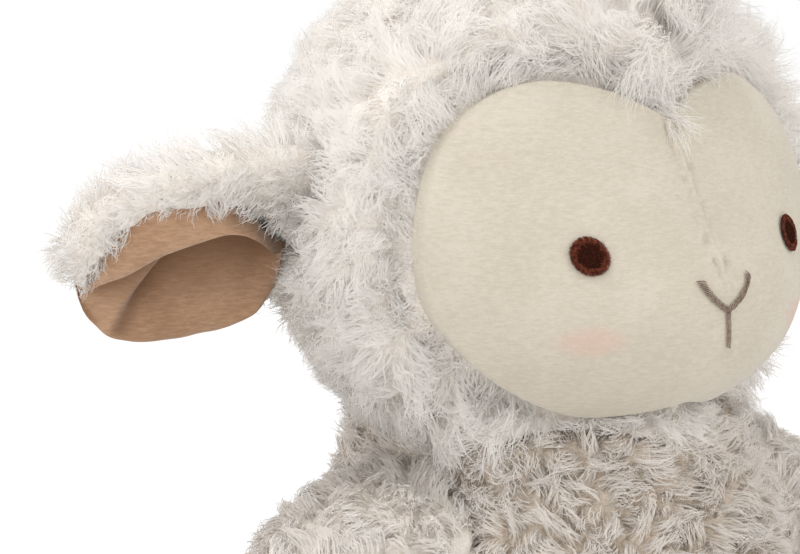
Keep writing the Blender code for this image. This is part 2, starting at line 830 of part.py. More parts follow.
def tail_point(u, v):
    out = Vector((0, math.cos(TAIL_SLOPE), -math.sin(TAIL_SLOPE)))
    up = Vector((0, math.sin(TAIL_SLOPE), math.cos(TAIL_SLOPE)))
    place, wide = ending(TAIL_SHARES, v)
    turn = 2 * math.pi * u
    radius = TAIL_RADIUS * wide
    start = tail_pivot() - out * TAIL_ROOT_RADIUS
    return start + out * TAIL_LENGTH * place + up * radius * math.cos(turn) + Vector((radius * math.sin(turn), 0, 0))


# Assembly
tail_place = tail_pivot()
tail = pivot("tail_pivot", tail_place)

tummy_shift = 1.5 * GAP / math.sin(TUMMY_ANGLE)
front_turns = (-TUMMY_ANGLE, TUMMY_ANGLE)
back_turns = (TUMMY_ANGLE, 2 * math.pi - TUMMY_ANGLE)
panel_rows = SIDE_ROWS + 2 * LID_ROWS
tummy = form(
    TUMMY_COLUMNS, panel_rows, panel(*front_turns, 0, tummy_shift), panel(*front_turns, BODY_INSET, tummy_shift)
)
back = form(BACK_COLUMNS, panel_rows, panel(*back_turns, 0, 0), panel(*back_turns, BODY_INSET, 0))
core_columns = TUMMY_COLUMNS + BACK_COLUMNS
filling = form(core_columns, SIDE_ROWS - POUCH_ROWS + 2 * LID_ROWS, core(POUCH_ROWS, SIDE_ROWS))
pouch = form(core_columns, POUCH_ROWS + 2 * LID_ROWS, core(0, POUCH_ROWS))
body_pieces = [
    add("body_front_panel", tummy, torso, FUR),
    add("body_back_panel", back, torso, FUR),
    add("body_stuffing", filling, torso, STUFFING),
    add("seat_bean_pouch", pouch, torso, BEANS),
]

for side, hand in ((-1, "right"), (1, "left")):
    shoulder = pivot(f"arm_{hand}_pivot", (side * shoulder_x(ARM_ROOT_Z), ARM_ROOT_Y, ARM_ROOT_Z))
    hip = pivot(f"leg_{hand}_pivot", leg_frame(side)[0])
    ear = pivot(f"ear_{hand}_pivot", ear_frame(side)[0], head)

    skin = form(LIMB_COLUMNS, ARM_ROWS, arm_surface(side, 0, 1), arm_surface(side, BODY_INSET, ARM_FILLING_SHARE))
    filling = form(LIMB_COLUMNS, ARM_ROWS, arm_surface(side, BODY_INSET + 3 * GAP, ARM_FILLING_SHARE - 0.03))
    add(f"arm_{hand}", skin, shoulder, FUR)
    add(f"arm_stuffing_{hand}", filling, shoulder, STUFFING)

    leg_rows = LEG_REAR_ROWS + LEG_ROWS
    skin = form(LIMB_COLUMNS, leg_rows, leg_surface(side, 0), leg_surface(side, BODY_INSET))
    filling = form(LIMB_COLUMNS, leg_rows, leg_surface(side, BODY_INSET + GAP))
    add(f"leg_{hand}", skin, hip, FUR)
    add(f"leg_stuffing_{hand}", filling, hip, STUFFING)
    add(f"sole_pad_{hand}", sole(side), hip, TAN)
    socket = leg_socket(side, hand)
    for piece in body_pieces:
        cut(piece, socket)

    leaf = form(EAR_COLUMNS, EAR_REAR_ROWS + EAR_ROWS, lambda u, v: ear_point(side, 2 * math.pi * u, v, 0))
    add(f"ear_back_{hand}", leaf, ear, FUR)
    add(f"ear_lining_{hand}", ear_lining(side), ear, TAN)
    pocket = ear_pocket(side, hand)
    cut(bpy.data.objects[f"hood_panel_{hand}"], pocket)
    cut(head_stuffing, pocket)

add("tail", form(16, 10, tail_point), tail, FUR)
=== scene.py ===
"""A seated plush lamb: long curly pile over stuffed cloth, a short-pile face with sewn features, and lined ears."""

import math

import bmesh
import bpy
import numpy as np
from mathutils import Matrix, Vector, noise
from mathutils.bvhtree import BVHTree
from mathutils.kdtree import KDTree


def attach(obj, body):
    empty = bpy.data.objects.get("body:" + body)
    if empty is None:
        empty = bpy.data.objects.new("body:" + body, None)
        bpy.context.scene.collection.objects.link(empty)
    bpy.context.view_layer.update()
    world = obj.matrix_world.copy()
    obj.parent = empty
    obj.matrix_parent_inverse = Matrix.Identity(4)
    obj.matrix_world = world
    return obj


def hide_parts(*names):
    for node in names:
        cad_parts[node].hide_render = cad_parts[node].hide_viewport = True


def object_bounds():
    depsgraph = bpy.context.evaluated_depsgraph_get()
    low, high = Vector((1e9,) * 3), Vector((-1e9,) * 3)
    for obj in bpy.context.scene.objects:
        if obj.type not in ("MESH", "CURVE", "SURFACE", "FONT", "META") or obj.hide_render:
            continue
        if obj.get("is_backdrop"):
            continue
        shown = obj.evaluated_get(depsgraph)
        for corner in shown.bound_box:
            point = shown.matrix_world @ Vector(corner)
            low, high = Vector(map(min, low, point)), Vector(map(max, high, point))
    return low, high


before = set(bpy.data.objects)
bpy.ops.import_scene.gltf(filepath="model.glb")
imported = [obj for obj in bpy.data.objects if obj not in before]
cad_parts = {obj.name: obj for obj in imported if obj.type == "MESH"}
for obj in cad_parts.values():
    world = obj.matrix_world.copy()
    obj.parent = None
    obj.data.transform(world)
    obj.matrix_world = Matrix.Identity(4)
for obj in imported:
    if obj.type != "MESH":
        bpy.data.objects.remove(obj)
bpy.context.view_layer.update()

# Camera: close to the lamb's right cheek and a little above it, so that the legs and the seat are below the picture.
EYE_LINE = Vector((0, 0, 0.190))
SIGHT_TURN = math.radians(-36.77)
SIGHT_RISE = math.radians(9.18)
SIGHT_DISTANCE = 0.560
SIGHT_ASIDE = 0.0400
SIGHT_DROP = 0.0158
sight = Vector((
    math.sin(SIGHT_TURN) * math.cos(SIGHT_RISE),
    -math.cos(SIGHT_TURN) * math.cos(SIGHT_RISE),
    math.sin(SIGHT_RISE),
))
sight_right = Vector((math.cos(SIGHT_TURN), math.sin(SIGHT_TURN), 0))
sight_up = sight.cross(sight_right)
camera = bpy.data.objects.new("camera", bpy.data.cameras.new("camera"))
camera.data.lens = 90
camera.data.sensor_width = 36
camera.data.clip_start = 0.02
camera.data.clip_end = 20
camera.matrix_world = Matrix.Translation(
    EYE_LINE + sight * SIGHT_DISTANCE - sight_right * SIGHT_ASIDE - sight_up * SIGHT_DROP
) @ Matrix((sight_right, sight_up, sight)).transposed().to_4x4()
bpy.context.scene.collection.objects.link(camera)
bpy.context.scene.camera = camera
bpy.context.scene.view_settings.view_transform = "Standard"


# Studio: a pale floor, a white surround and three large soft lamps: high over the lamb's right, in front on its left,
# and at its right. The floor and the surround are white to the camera, and the floor takes the lamb's shadow.
FLOOR_Z = -0.0004
FLOOR_WHITE_SHARE = 0.80
FLOOR_WHITE_STRENGTH = 1.14
LAMP_AIM = Vector((0, 0, 0.17))


def reckon(operation, swapped=False):
    def method(self, other):
        pair = (other, self) if swapped else (self, other)
        return self.look.node("Math", dict(enumerate(pair)), operation=operation)

    return method


class Pin:
    """A socket of a material. Arithmetic on it adds Math nodes."""

    def __init__(self, look, socket):
        self.look, self.socket = look, socket

    __add__, __sub__, __pow__ = reckon("ADD"), reckon("SUBTRACT"), reckon("POWER")
    __mul__, __rmul__ = reckon("MULTIPLY"), reckon("MULTIPLY", True)


class Look:
    """A material in the making."""

    def __init__(self, name, **constants):
        self.material = bpy.data.materials.new(name)
        self.material.use_nodes = True
        self.nodes = self.material.node_tree.nodes
        self.shader = self.nodes["Principled BSDF"]
        self.output = self.nodes["Material Output"]
        for key, value in constants.items():
            self.shader.inputs[key.replace("_", " ")].default_value = value

    def node(self, kind, sockets=(), out=0, **settings):
        made = self.nodes.new("ShaderNode" + kind)
        for key, value in settings.items():
            setattr(made, key, value)
        for key, value in dict(sockets).items():
            self.feed(made.inputs[key], value)
        return Pin(self, made.outputs[out])

    def feed(self, socket, value):
        if isinstance(value, Pin):
            self.material.node_tree.links.new(value.socket, socket)
        else:
            socket.default_value = value

    def set(self, key, value):
        self.feed(self.shader.inputs[key], value)

    def place(self, scale=(1, 1, 1)):
        return self.node("Mapping", {0: self.node("TexCoord", out=3), 3: scale})

    def noise(self, scale, detail=2.0, where=None, roughness=0.5):
        sockets = {"Vector": where or self.place(), "Scale": scale, "Detail": detail, "Roughness": roughness}
        return self.node("TexNoise", sockets)

    def between(self, pin, low, high, to_low=0.0, to_high=1.0):
        ends = {0: pin, 1: low, 2: high, 3: to_low, 4: to_high}
        return self.node("MapRange", ends, interpolation_type="SMOOTHSTEP")

    def colours(self, factor, first, second):
        first = (*first, 1) if isinstance(first, tuple) else first
        return self.node("Mix", {0: factor, 6: first, 7: (*second, 1)}, out=2, data_type="RGBA")

    def bump(self, height, distance):
        self.set("Normal", self.node("Bump", {"Height": height, "Distance": distance, "Strength": 1.0}))


def seen_white(tree, shaded, glow_kind, strength, share):
    """Mixes white light into what the camera, a mirror or a glass sees of a surface."""
    path = tree.nodes.new("ShaderNodeLightPath")
    glow = tree.nodes.new(glow_kind)
    glow.inputs["Color"].default_value = (1, 1, 1, 1)
    glow.inputs["Strength"].default_value = strength
    mixed = tree.nodes.new("ShaderNodeMixShader")
    total = None
    for kind in ("Is Camera Ray", "Is Glossy Ray", "Is Transmission Ray"):
        if total is None:
            total = path.outputs[kind]
            continue
        add = tree.nodes.new("ShaderNodeMath")
        add.operation = "MAXIMUM"
        tree.links.new(total, add.inputs[0])
        tree.links.new(path.outputs[kind], add.inputs[1])
        total = add.outputs[0]
    scale = tree.nodes.new("ShaderNodeMath")
    scale.operation = "MULTIPLY"
    scale.inputs[1].default_value = share
    tree.links.new(total, scale.inputs[0])
    tree.links.new(scale.outputs[0], mixed.inputs[0])
    tree.links.new(shaded, mixed.inputs[1])
    tree.links.new(glow.outputs[0], mixed.inputs[2])
    return mixed.outputs[0]


world = bpy.data.worlds.new("surround")
bpy.context.scene.world = world
world.use_nodes = True
surround = world.node_tree.nodes["Background"]
surround.inputs["Color"].default_value = (1.0, 0.970, 0.932, 1)
surround.inputs["Strength"].default_value = 0.62
world.node_tree.links.new(
    seen_white(world.node_tree, surround.outputs[0], "ShaderNodeBackground", 1.0, 1.0),
    world.node_tree.nodes["World Output"].inputs[0],
)

floor_look = Look("pale_floor", Base_Color=(0.86, 0.86, 0.86, 1), Roughness=0.9)
floor_tree = floor_look.material.node_tree
floor_seen = floor_look.shader.outputs[0]
floor_tree.links.new(
    seen_white(floor_tree, floor_seen, "ShaderNodeEmission", FLOOR_WHITE_STRENGTH, FLOOR_WHITE_SHARE),
    floor_look.output.inputs[0],
)
bm = bmesh.new()
bmesh.ops.create_grid(bm, x_segments=1, y_segments=1, size=3.0)
bmesh.ops.translate(bm, verts=bm.verts[:], vec=(0, 0, FLOOR_Z))
floor = bpy.data.objects.new("floor", bpy.data.meshes.new("floor"))
bm.to_mesh(floor.data)
bm.free()
floor.data.materials.append(floor_look.material)
bpy.context.scene.collection.objects.link(floor)
floor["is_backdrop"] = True


def lamp(name, place, side, power):
    made = bpy.data.objects.new(name, bpy.data.lights.new(name, "AREA"))
    made.data.size = side
    made.data.energy = power
    made.location = place
    made.rotation_euler = (LAMP_AIM - Vector(place)).to_track_quat("-Z", "Y").to_euler()
    bpy.context.scene.collection.objects.link(made)


lamp("soft_lamp", (-0.50, 0.22, 1.40), 1.1, 7.8)
lamp("front_lamp", (0.95, -1.35, 0.85), 1.2, 8.0)
lamp("side_lamp", (-1.40, -0.55, 0.55), 1.2, 6.2)


# Face: two short-pile panels sewn down the middle, each stuffed into a shallow dome with the muzzle swelling out of it.
# The edge is turned in under the hood's pile, and a small dart tucks in the cheek.
FACE_HALF_WIDTH = 0.0734
FACE_DOME = 0.0348
FACE_HALF_HEIGHT = 0.0542
FACE_Y = -0.018
FACE_RISE = 0.0038
MUZZLE_LENGTH = 0.0248
MUZZLE_DROP = 0.0274
MUZZLE_SPREAD = 0.0445
MUZZLE_SPREAD_UP = 0.0257
OUTLINE_SHARES = (0.50, 0.645, 0.835, 0.94, 0.966, 0.933, 0.82, 0.725, 0.605, 0.53)
FACE_SPREAD = 0.02
FACE_CLOTH = 0.0022
FACE_TURN_IN = 0.0045
DART = (Vector((0.0625, -0.0300)), Vector((0.0525, -0.0215)))
PUCKERS = (
    (Vector((0.0022, -0.0030)), Vector((0.0050, -0.0080))),
    (Vector((-0.0012, -0.0035)), Vector((-0.0004, -0.0090))),
    (Vector((-0.0010, -0.0268)), Vector((0.0012, -0.0272))),
)
OUTLINE_DROP = 0.004
FACE_EDGE_SHARE = 0.985  # the outline stays this far inside the dome's own edge
HEAD = Vector((0, 0, 0.197))
HANDS = ((-1, "right"), (1, "left"))
MERGE = 0.00001
CREASE = math.radians(55)


def mix(a, b, t):
    return a + (b - a) * t


def smooth(t):
    t = min(max(t, 0), 1)
    return t * t * (3 - 2 * t)


def hump(distance, width):
    return math.exp(-((distance / width) ** 2))


def spline(table, t):
    """A smooth curve through evenly spaced values, at t from 0 to 1."""
    place = min(max(t, 0), 1) * (len(table) - 1)
    i = min(int(place), len(table) - 2)
    t = place - i
    b, c = table[i], table[i + 1]
    a = table[i - 1] if i else b
    d = table[i + 2] if i + 2 < len(table) else c
    return b + t * (c - a + t * (2 * a - 5 * b + 4 * c - d + t * (3 * (b - c) + d - a))) / 2


def face_y(x, z):
    """The stuffed face's surface, at a height z over the eye line."""
    dome = 1 - (x / FACE_HALF_WIDTH) ** 2 - ((z - FACE_RISE) / FACE_HALF_HEIGHT) ** 2
    muzzle = (x / MUZZLE_SPREAD) ** 2 + ((z + MUZZLE_DROP) / MUZZLE_SPREAD_UP) ** 2
    return FACE_Y - FACE_DOME * math.sqrt(max(dome, 0)) - MUZZLE_LENGTH * math.exp(-muzzle / 2)


def off_line(x, z, line):
    """Distance of a face point from a straight line between two others, and its place along it."""
    start, end = line
    way = end - start
    t = min(max((Vector((x, z)) - start).dot(way) / way.length_squared, 0), 1)
    return (Vector((x, z)) - start - way * t).length, t


def face_detail(x, z):
    """How far the sewing draws the face in, or the stuffing pushes it out."""
    lumps = noise.noise(Vector((x * 55, z * 55, 3)))
    ripple = noise.noise(Vector((x * 250, z * 420, 7)))
    groove = -0.00040 * hump(x, 0.0006) * (0.8 + 1.4 * ripple)
    seam = groove + 0.0009 * hump(abs(x) - 0.0018, 0.0013) * (0.6 + 1.6 * ripple)
    seam *= smooth((z + 0.010) / 0.006) * smooth((0.045 - z) / 0.01)
    nose = 0.0009 * hump(math.hypot(x, z + 0.0175), 0.0058) + 0.0006 * hump(math.hypot(x, z + 0.0285), 0.0022)
    for start, end in PUCKERS:
        gap, _ = off_line(x, z, (start, end))
        nose += 0.0006 * hump(gap, 0.0008) - 0.0004 * hump(gap - 0.0016, 0.0008)
    gap, t = off_line(abs(x), z, DART)
    dart = 0.0019 * hump(gap, 0.0011) * (1 - 0.8 * t) - 0.0008 * hump(gap - 0.0028, 0.0018) * (1 - t)
    return seam + nose + dart + 0.0004 * lumps


def rim_point(t):
    """The face's edge, from the peak over the brow at t = 0 round one side to the chin at t = 1."""
    radius = FACE_HALF_WIDTH * spline(OUTLINE_SHARES, t)
    x = radius * math.sin(math.pi * t)
    z = radius * math.cos(math.pi * t) - OUTLINE_DROP
    reach = math.hypot(x / FACE_HALF_WIDTH, (z - FACE_RISE) / FACE_HALF_HEIGHT)
    pull = min(1, FACE_EDGE_SHARE / reach)
    x, z = x * pull, FACE_RISE + (z - FACE_RISE) * pull
    return Vector((x, face_y(x, z), EYE_LINE.z + z))


def rim(t):
    """The edge's direction from the head's centre: its turn about Y and its angle from the front."""
    out = rim_point(t) - HEAD
    return math.atan2(abs(out.x), out.z), math.acos(-out.y / out.length)


def way(turn, angle, side):
    """The direction at this turn about Y and this angle from the front."""
    return Vector((side * math.sin(angle) * math.sin(turn), -math.cos(angle), math.sin(angle) * math.cos(turn)))


def face_reach(direction):
    """How far the face's surface lies from the head's centre in a direction."""
    near, far = 0, 0.13
    for _ in range(24):
        middle = (near + far) / 2
        point = direction * middle
        if point.y > face_y(point.x, point.z + HEAD.z - EYE_LINE.z):
            near = middle
        else:
            far = middle
    return near


def form(name, columns, rows, outer, inner=None, shade=None):
    """A grid laid over outer(u, v) and, with inner, closed into a shell. Its painted shade goes into an attribute."""
    bm = bmesh.new()
    bmesh.ops.create_grid(bm, x_segments=columns, y_segments=rows, size=1.0)
    across, along, painted_shade = (bm.verts.layers.float.new(key) for key in ("u", "v", "painted_shade"))
    for vert in bm.verts:
        vert[across], vert[along] = (min(max((c + 1) / 2, 0), 1) for c in vert.co.xy)
        vert.co = outer(vert[across], vert[along])
    bmesh.ops.remove_doubles(bm, verts=bm.verts[:], dist=MERGE)
    if inner:
        lifted = bmesh.ops.extrude_face_region(bm, geom=bm.faces[:])["geom"]
        for vert in lifted:
            if isinstance(vert, bmesh.types.BMVert):
                vert.co = inner(vert[across], vert[along])
        bmesh.ops.remove_doubles(bm, verts=bm.verts[:], dist=MERGE)
    else:
        bmesh.ops.holes_fill(bm, edges=[edge for edge in bm.edges if edge.is_boundary], sides=0)
    for vert in bm.verts:
        vert[painted_shade] = shade(vert[across], vert[along]) if shade else 0
    return piece(name, bm)


def piece(name, bm):
    """Makes an object of a closed mesh, its faces turned outwards."""
    bmesh.ops.recalc_face_normals(bm, faces=bm.faces[:])
    if bm.calc_volume(signed=True) < 0:
        bmesh.ops.reverse_faces(bm, faces=bm.faces[:])
    made = bpy.data.objects.new(name, bpy.data.meshes.new(name))
    bm.to_mesh(made.data)
    bm.free()
    made.data.shade_smooth()
    made.data.set_sharp_from_angle(angle=CREASE)
    bpy.context.scene.collection.objects.link(made)
    return made


def settle(made, body, look, slot, *nodes):
    """Finishes a piece: its cloth, the body it rides on, and the solids it stands for."""
    made.data.materials.append(look.material)
    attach(made, body)
    if nodes:
        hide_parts(*nodes)
    return made


def nap(name, pale, deep, grain, tuft=0.00022):
    """Short brushed pile: fine streaks along its grain, with soft patches where it has been stroked."""
    look = Look(name, Roughness=1.0, Sheen_Weight=0.35, Sheen_Roughness=0.45, Specular_IOR_Level=0.15)
    streaks = look.noise(1.0, 3.0, look.place(grain), 0.62)
    fluff = look.noise(1.0, 2.0, look.place(tuple(3.1 * g for g in grain)), 0.6)
    patches = look.noise(55.0, 3.0)
    shade = look.between(streaks * 0.55 + fluff * 0.25 + patches * 0.35, 0.42, 0.74)
    look.base = look.colours(shade, deep, pale)
    look.set("Base Color", look.base)
    look.bump(streaks * 0.6 + fluff * 0.5, tuft)
    return look


velboa = nap("cream_velboa", (0.708, 0.655, 0.553), (0.618, 0.560, 0.460), (420, 420, 1500))
# A faint blush is brushed into each cheek
point = velboa.node("SeparateXYZ", {0: velboa.node("TexCoord", out=3)})
side_x = velboa.node("Math", {0: point}, operation="ABSOLUTE")
height = Pin(velboa, point.socket.node.outputs[2])
blush = ((side_x - 0.0363) * (1 / 0.0070)) ** 2 + ((height - 0.1692) * (1 / 0.0036)) ** 2
blush_share = velboa.between(blush + 0.7 * (velboa.noise(220.0, 3.0) - 0.5), 1.8, 0.0, 0.0, 0.36)
velboa.set("Base Color", velboa.colours(blush_share, velboa.base, (0.80, 0.47, 0.40)))

for side, hand in HANDS:

    def skin(u, v, depth=0.0):
        turn, edge_angle = rim(u - 0.93 * math.sin(2 * math.pi * u) / (2 * math.pi))
        direction = way(turn, (edge_angle + FACE_SPREAD) * v, side)
        point = HEAD + direction * face_reach(direction)
        edge = smooth((v - 0.90) / 0.10) ** 2
        point.y += face_detail(point.x, point.z - EYE_LINE.z) * (1 - edge)
        point = point - direction * (depth + FACE_TURN_IN * edge)
        point.x = side * max(side * point.x, 0)
        return point

    made = form(f"face_{hand}", 72, 60, skin, lambda u, v: skin(u, v, FACE_CLOTH))
    settle(made, "head", velboa, "cream_short_pile", f"face_panel_{hand}")


# Eyes and nose: machine embroidery. Each eye is a dark satin core inside a redder ring of short stitches, and the nose
# is a Y of slanting satin stitches in taupe.
EYE_X = 0.0355
EYE_RADIUS = 0.0049
EYE_CORE_SHARE = 0.90
CORE_STITCHES = 36
RING_STITCHES = 116
RING_SLANT = 0.16
NOSE_STITCHES = 23
THREAD = 0.00016


def on_face(x, z, lift):
    """A point over the face at X and a height from the eye line."""
    step = 0.0004
    slope_x = (face_y(x + step, z) - face_y(x - step, z)) / (2 * step)
    slope_z = (face_y(x, z + step) - face_y(x, z - step)) / (2 * step)
    normal = Vector((slope_x, -1, slope_z)).normalized()
    return Vector((x, face_y(x, z) + face_detail(x, z), EYE_LINE.z + z)) + normal * lift


def stitches(name, runs, radius):
    """Threads sewn over the face. A run gives its two ends in X and height, how far it bows out, and its lift."""
    bm = bmesh.new()
    for start, end, bow, lift in runs:
        steps, sides, rings = 5, 5, []
        across = Vector((start[1] - end[1], end[0] - start[0])).normalized()
        for k in range(steps + 1):
            t = k / steps
            x, z = mix(start[0], end[0], t), mix(start[1], end[1], t)
            taper = radius * (0.35 + 0.65 * math.sin(math.pi * min(max(t, 0.04), 0.96)) ** 0.4)
            centre = on_face(x, z, lift + bow * math.sin(math.pi * t))
            out = (on_face(x, z, 1) - on_face(x, z, 0)).normalized()
            wide = Vector((across.x, 0, across.y))
            wide = (wide - out * wide.dot(out)).normalized()
            turns = [2 * math.pi * j / sides for j in range(sides)]
            ring = [centre + (wide * math.cos(turn) + out * math.sin(turn)) * taper for turn in turns]
            rings.append([bm.verts.new(p) for p in ring])
        for a, b in zip(rings, rings[1:]):
            for j in range(sides):
                bm.faces.new((a[j], a[(j + 1) % sides], b[(j + 1) % sides], b[j]))
        bm.faces.new(rings[0])
        bm.faces.new(rings[-1])
    return piece(name, bm)


def thread(name, colour, deep, roughness):
    look = Look(name, Roughness=roughness, Specular_IOR_Level=0.08)
    shade = look.between(look.noise(1500.0, 2.0), 0.35, 0.68)
    look.set("Base Color", look.colours(shade, deep, colour))
    return look


core_thread = thread("dark_brown_thread", (0.052, 0.0105, 0.0035), (0.018, 0.0035, 0.0015), 0.7)
ring_thread = thread("red_brown_thread", (0.200, 0.054, 0.028), (0.055, 0.013, 0.007), 0.7)
taupe_thread = thread("taupe_thread", (0.380, 0.285, 0.230), (0.150, 0.100, 0.078), 0.6)
rng = np.random.default_rng(11)
for side, hand in HANDS:
    centre = Vector((side * EYE_X, 0))
    inner = EYE_RADIUS * EYE_CORE_SHARE
    runs = []
    for k in range(CORE_STITCHES):
        x = inner * (2 * (k + 0.5) / CORE_STITCHES - 1)
        half = math.sqrt(max(inner * inner - x * x, 0))
        low, high = centre.y - half + rng.normal(0, 0.00012), centre.y + half + rng.normal(0, 0.00012)
        top = (centre.x + x + rng.normal(0, 0.00003), high)
        runs.append(((centre.x + x, low), top, 0.00055 * half / inner, 0.0004))
    settle(stitches(f"eye_core_{hand}", runs, THREAD), "head", core_thread, "dark_brown_thread", f"eye_{hand}")
    runs = []
    for k in range(RING_STITCHES):
        turn = 2 * math.pi * (k + rng.uniform(-0.25, 0.25)) / RING_STITCHES
        spin = Vector((math.cos(turn), math.sin(turn)))
        slant = Vector((math.cos(turn + RING_SLANT), math.sin(turn + RING_SLANT)))
        inside, outside = EYE_RADIUS * rng.uniform(0.54, 0.68), EYE_RADIUS * rng.uniform(0.95, 1.0)
        runs.append((centre + spin * inside, centre + slant * outside, 0.00022, 0.00082 if k % 2 else 0.0007))
    settle(stitches(f"eye_ring_{hand}", runs, THREAD * 0.92), "head", ring_thread, "dark_brown_thread")

FORK = Vector((-0.0006, -0.0152))
LINES = (
    (Vector((-0.0085, -0.0072)), Vector((-0.0066, -0.0122)), FORK, 0.00150, 0.00092),
    (Vector((0.0088, -0.0070)), Vector((0.0058, -0.0120)), FORK, 0.00125, 0.00090),
    (FORK, Vector((-0.0004, -0.0200)), Vector((-0.0002, -0.0247)), 0.00090, 0.00078),
)
runs = []
for start, middle, end, wide, narrow in LINES:
    for k in range(NOSE_STITCHES):
        t = (k + 0.5) / NOSE_STITCHES
        place = start * (1 - t) ** 2 + middle * 2 * t * (1 - t) + end * t * t
        ahead = ((middle - start) * (1 - t) + (end - middle) * t).normalized()
        across = (Vector((-ahead.y, ahead.x)) + ahead * 0.45).normalized() * mix(wide, narrow, t ** 0.6)
        low, high = place - across * rng.uniform(0.85, 1.12), place + across * rng.uniform(0.85, 1.12)
        runs.append((low, high, 0.00035, 0.00045))
settle(stitches("nose_and_mouth", runs, THREAD * 1.05), "head", taupe_thread, "taupe_thread", "nose_stitching")


# Hood: long soft pile over the stuffed head. Its dense lower part is one body with the stuffing, fused from the head's
# solids and drawn in, and swells under each lock. The locks' ends are strands that lie over it.
def backing(name, nodes, draw_in, voxel=0.0018, rounds=8, keep=None):
    bm = bmesh.new()
    for node in nodes:
        bm.from_mesh(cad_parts[node].data)
    bmesh.ops.remove_doubles(bm, verts=bm.verts[:], dist=MERGE)
    rough = bpy.data.objects.new(name + "_rough", bpy.data.meshes.new(name + "_rough"))
    bm.to_mesh(rough.data)
    bm.free()
    bpy.context.scene.collection.objects.link(rough)
    remesh = rough.modifiers.new("fuse", "REMESH")
    remesh.mode = "VOXEL"
    remesh.voxel_size = voxel
    smoothing = rough.modifiers.new("smooth", "SMOOTH")
    smoothing.iterations = rounds
    smoothing.factor = 0.5
    mesh = bpy.data.meshes.new_from_object(rough.evaluated_get(bpy.context.evaluated_depsgraph_get()))
    bpy.data.objects.remove(rough)
    bm = bmesh.new()
    bm.from_mesh(mesh)
    bpy.data.meshes.remove(mesh)
    bm.normal_update()
    normals = [vert.normal.copy() for vert in bm.verts]
    for vert, normal in zip(bm.verts, normals):
        vert.co -= normal * draw_in * (keep(vert.co, normal) if keep else 1)
    for _ in range(2):
        bmesh.ops.smooth_vert(bm, verts=bm.verts[:], factor=0.5, use_axis_x=True, use_axis_y=True, use_axis_z=True)
    return piece(name, bm)


def underpile(name, colour, deep):
    """The felted lower part of a pile, its tone varying at random over fine fibres and patches."""
    look = Look(name, Roughness=1.0, Sheen_Weight=0.15, Specular_IOR_Level=0.1)
    fibres = look.noise(1400.0, 3.0)
    look.set("Base Color", look.colours(look.between(fibres * 0.5 + look.noise(300.0) * 0.5, 0.34, 0.64), deep, colour))
    look.bump(fibres, 0.0005)
    return look


def tree_of(*nodes):
    trees = []
    for node in nodes:
        bm = bmesh.new()
        bm.from_mesh(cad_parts[node].data)
        trees.append(BVHTree.FromBMesh(bm))
        bm.free()
    return trees


def buried(trees, points, margin=-0.001):
    """Which points lie inside any of these solids."""
    found = np.zeros(len(points), bool)
    for tree in trees:
        for i, point in enumerate(points.tolist()):
            if found[i]:
                continue
            near, normal, _, _ = tree.find_nearest(point, 0.02)
            found[i] = near is not None and (Vector(point) - near).dot(normal) < margin
    return found


def room(trees, points, normals, far=0.03):
    """The free space in front of each point before one of these solids."""
    gaps = []
    for point, normal in zip(points.tolist(), normals.tolist()):
        start = Vector(point) + Vector(normal) * 0.0003
        gaps.append(min(tree.ray_cast(start, normal, far)[3] or far for tree in trees))
    return np.array(gaps)


def snug(trees, other=None):
    """The pile is squeezed thin where a piece meets its neighbour."""

    def keep(point, normal):
        gap = min((tree.find_nearest(point, 0.012)[3] or 0.012) for tree in trees)
        return (0.1 + 0.9 * smooth((gap - 0.002) / 0.008)) * (other(point, normal) if other else 1)

    return keep


RIM_TABLE = np.array([rim(k / 60) for k in range(61)])


def from_rim(points):
    """Angle of points outside the face's edge, seen from the head's centre."""
    out = points - np.array(HEAD)
    distance = np.linalg.norm(out, axis=1)
    turn = np.arctan2(np.abs(out[:, 0]), out[:, 2])
    angle = np.arccos(np.clip(-out[:, 1] / distance, -1, 1))
    return angle - np.interp(turn, RIM_TABLE[:, 0], RIM_TABLE[:, 1]) - FACE_SPREAD


torso_trees = tree_of("body_front_panel", "body_back_panel")
off_body = snug(torso_trees)


def round_face(point, normal):
    """The pile's roots sink towards the seam along the face's edge."""
    return off_body(point, normal) * (1 + 1.5 * hump(from_rim(np.array([point]))[0] - 0.005, 0.075))


fur_cloth = underpile("pile_roots", (0.930, 0.885, 0.835), (0.860, 0.795, 0.725))
# The body's underpile is darker and browner than pile_roots: painted shade for the gaps between its curls and for the
# head's shadow over the body.
curl_cloth_painted_shade = underpile("curl_roots_painted_shade", (0.720, 0.635, 0.545), (0.560, 0.470, 0.380))
head_cloth = backing(
    "head_underpile",
    ["head_stuffing", "hood_panel_left", "hood_panel_right", "face_panel_left", "face_panel_right"],
    0.0034, keep=round_face,
)
# The end of the hood's seam lies flat under the chin
SEAM_END_HALF_WIDTH = 0.005
SEAM_END_Y = -0.040
SEAM_END_Z = 0.153
bm = bmesh.new()
bm.from_mesh(head_cloth.data)
seam_end = [
    vert for vert in bm.verts
    if abs(vert.co.x) < SEAM_END_HALF_WIDTH and vert.co.y < SEAM_END_Y and vert.co.z < SEAM_END_Z
]
for _ in range(14):
    bmesh.ops.smooth_vert(bm, verts=seam_end, factor=0.5, use_axis_x=True, use_axis_y=True, use_axis_z=True)
bm.to_mesh(head_cloth.data)
bm.free()
settle(head_cloth, "head", fur_cloth, "cream_long_pile", "head_stuffing")


def unit(vectors):
    return vectors / np.maximum(np.linalg.norm(vectors, axis=-1, keepdims=True), 1e-12)


def dot(a, b):
    return (a * b).sum(-1, keepdims=True)


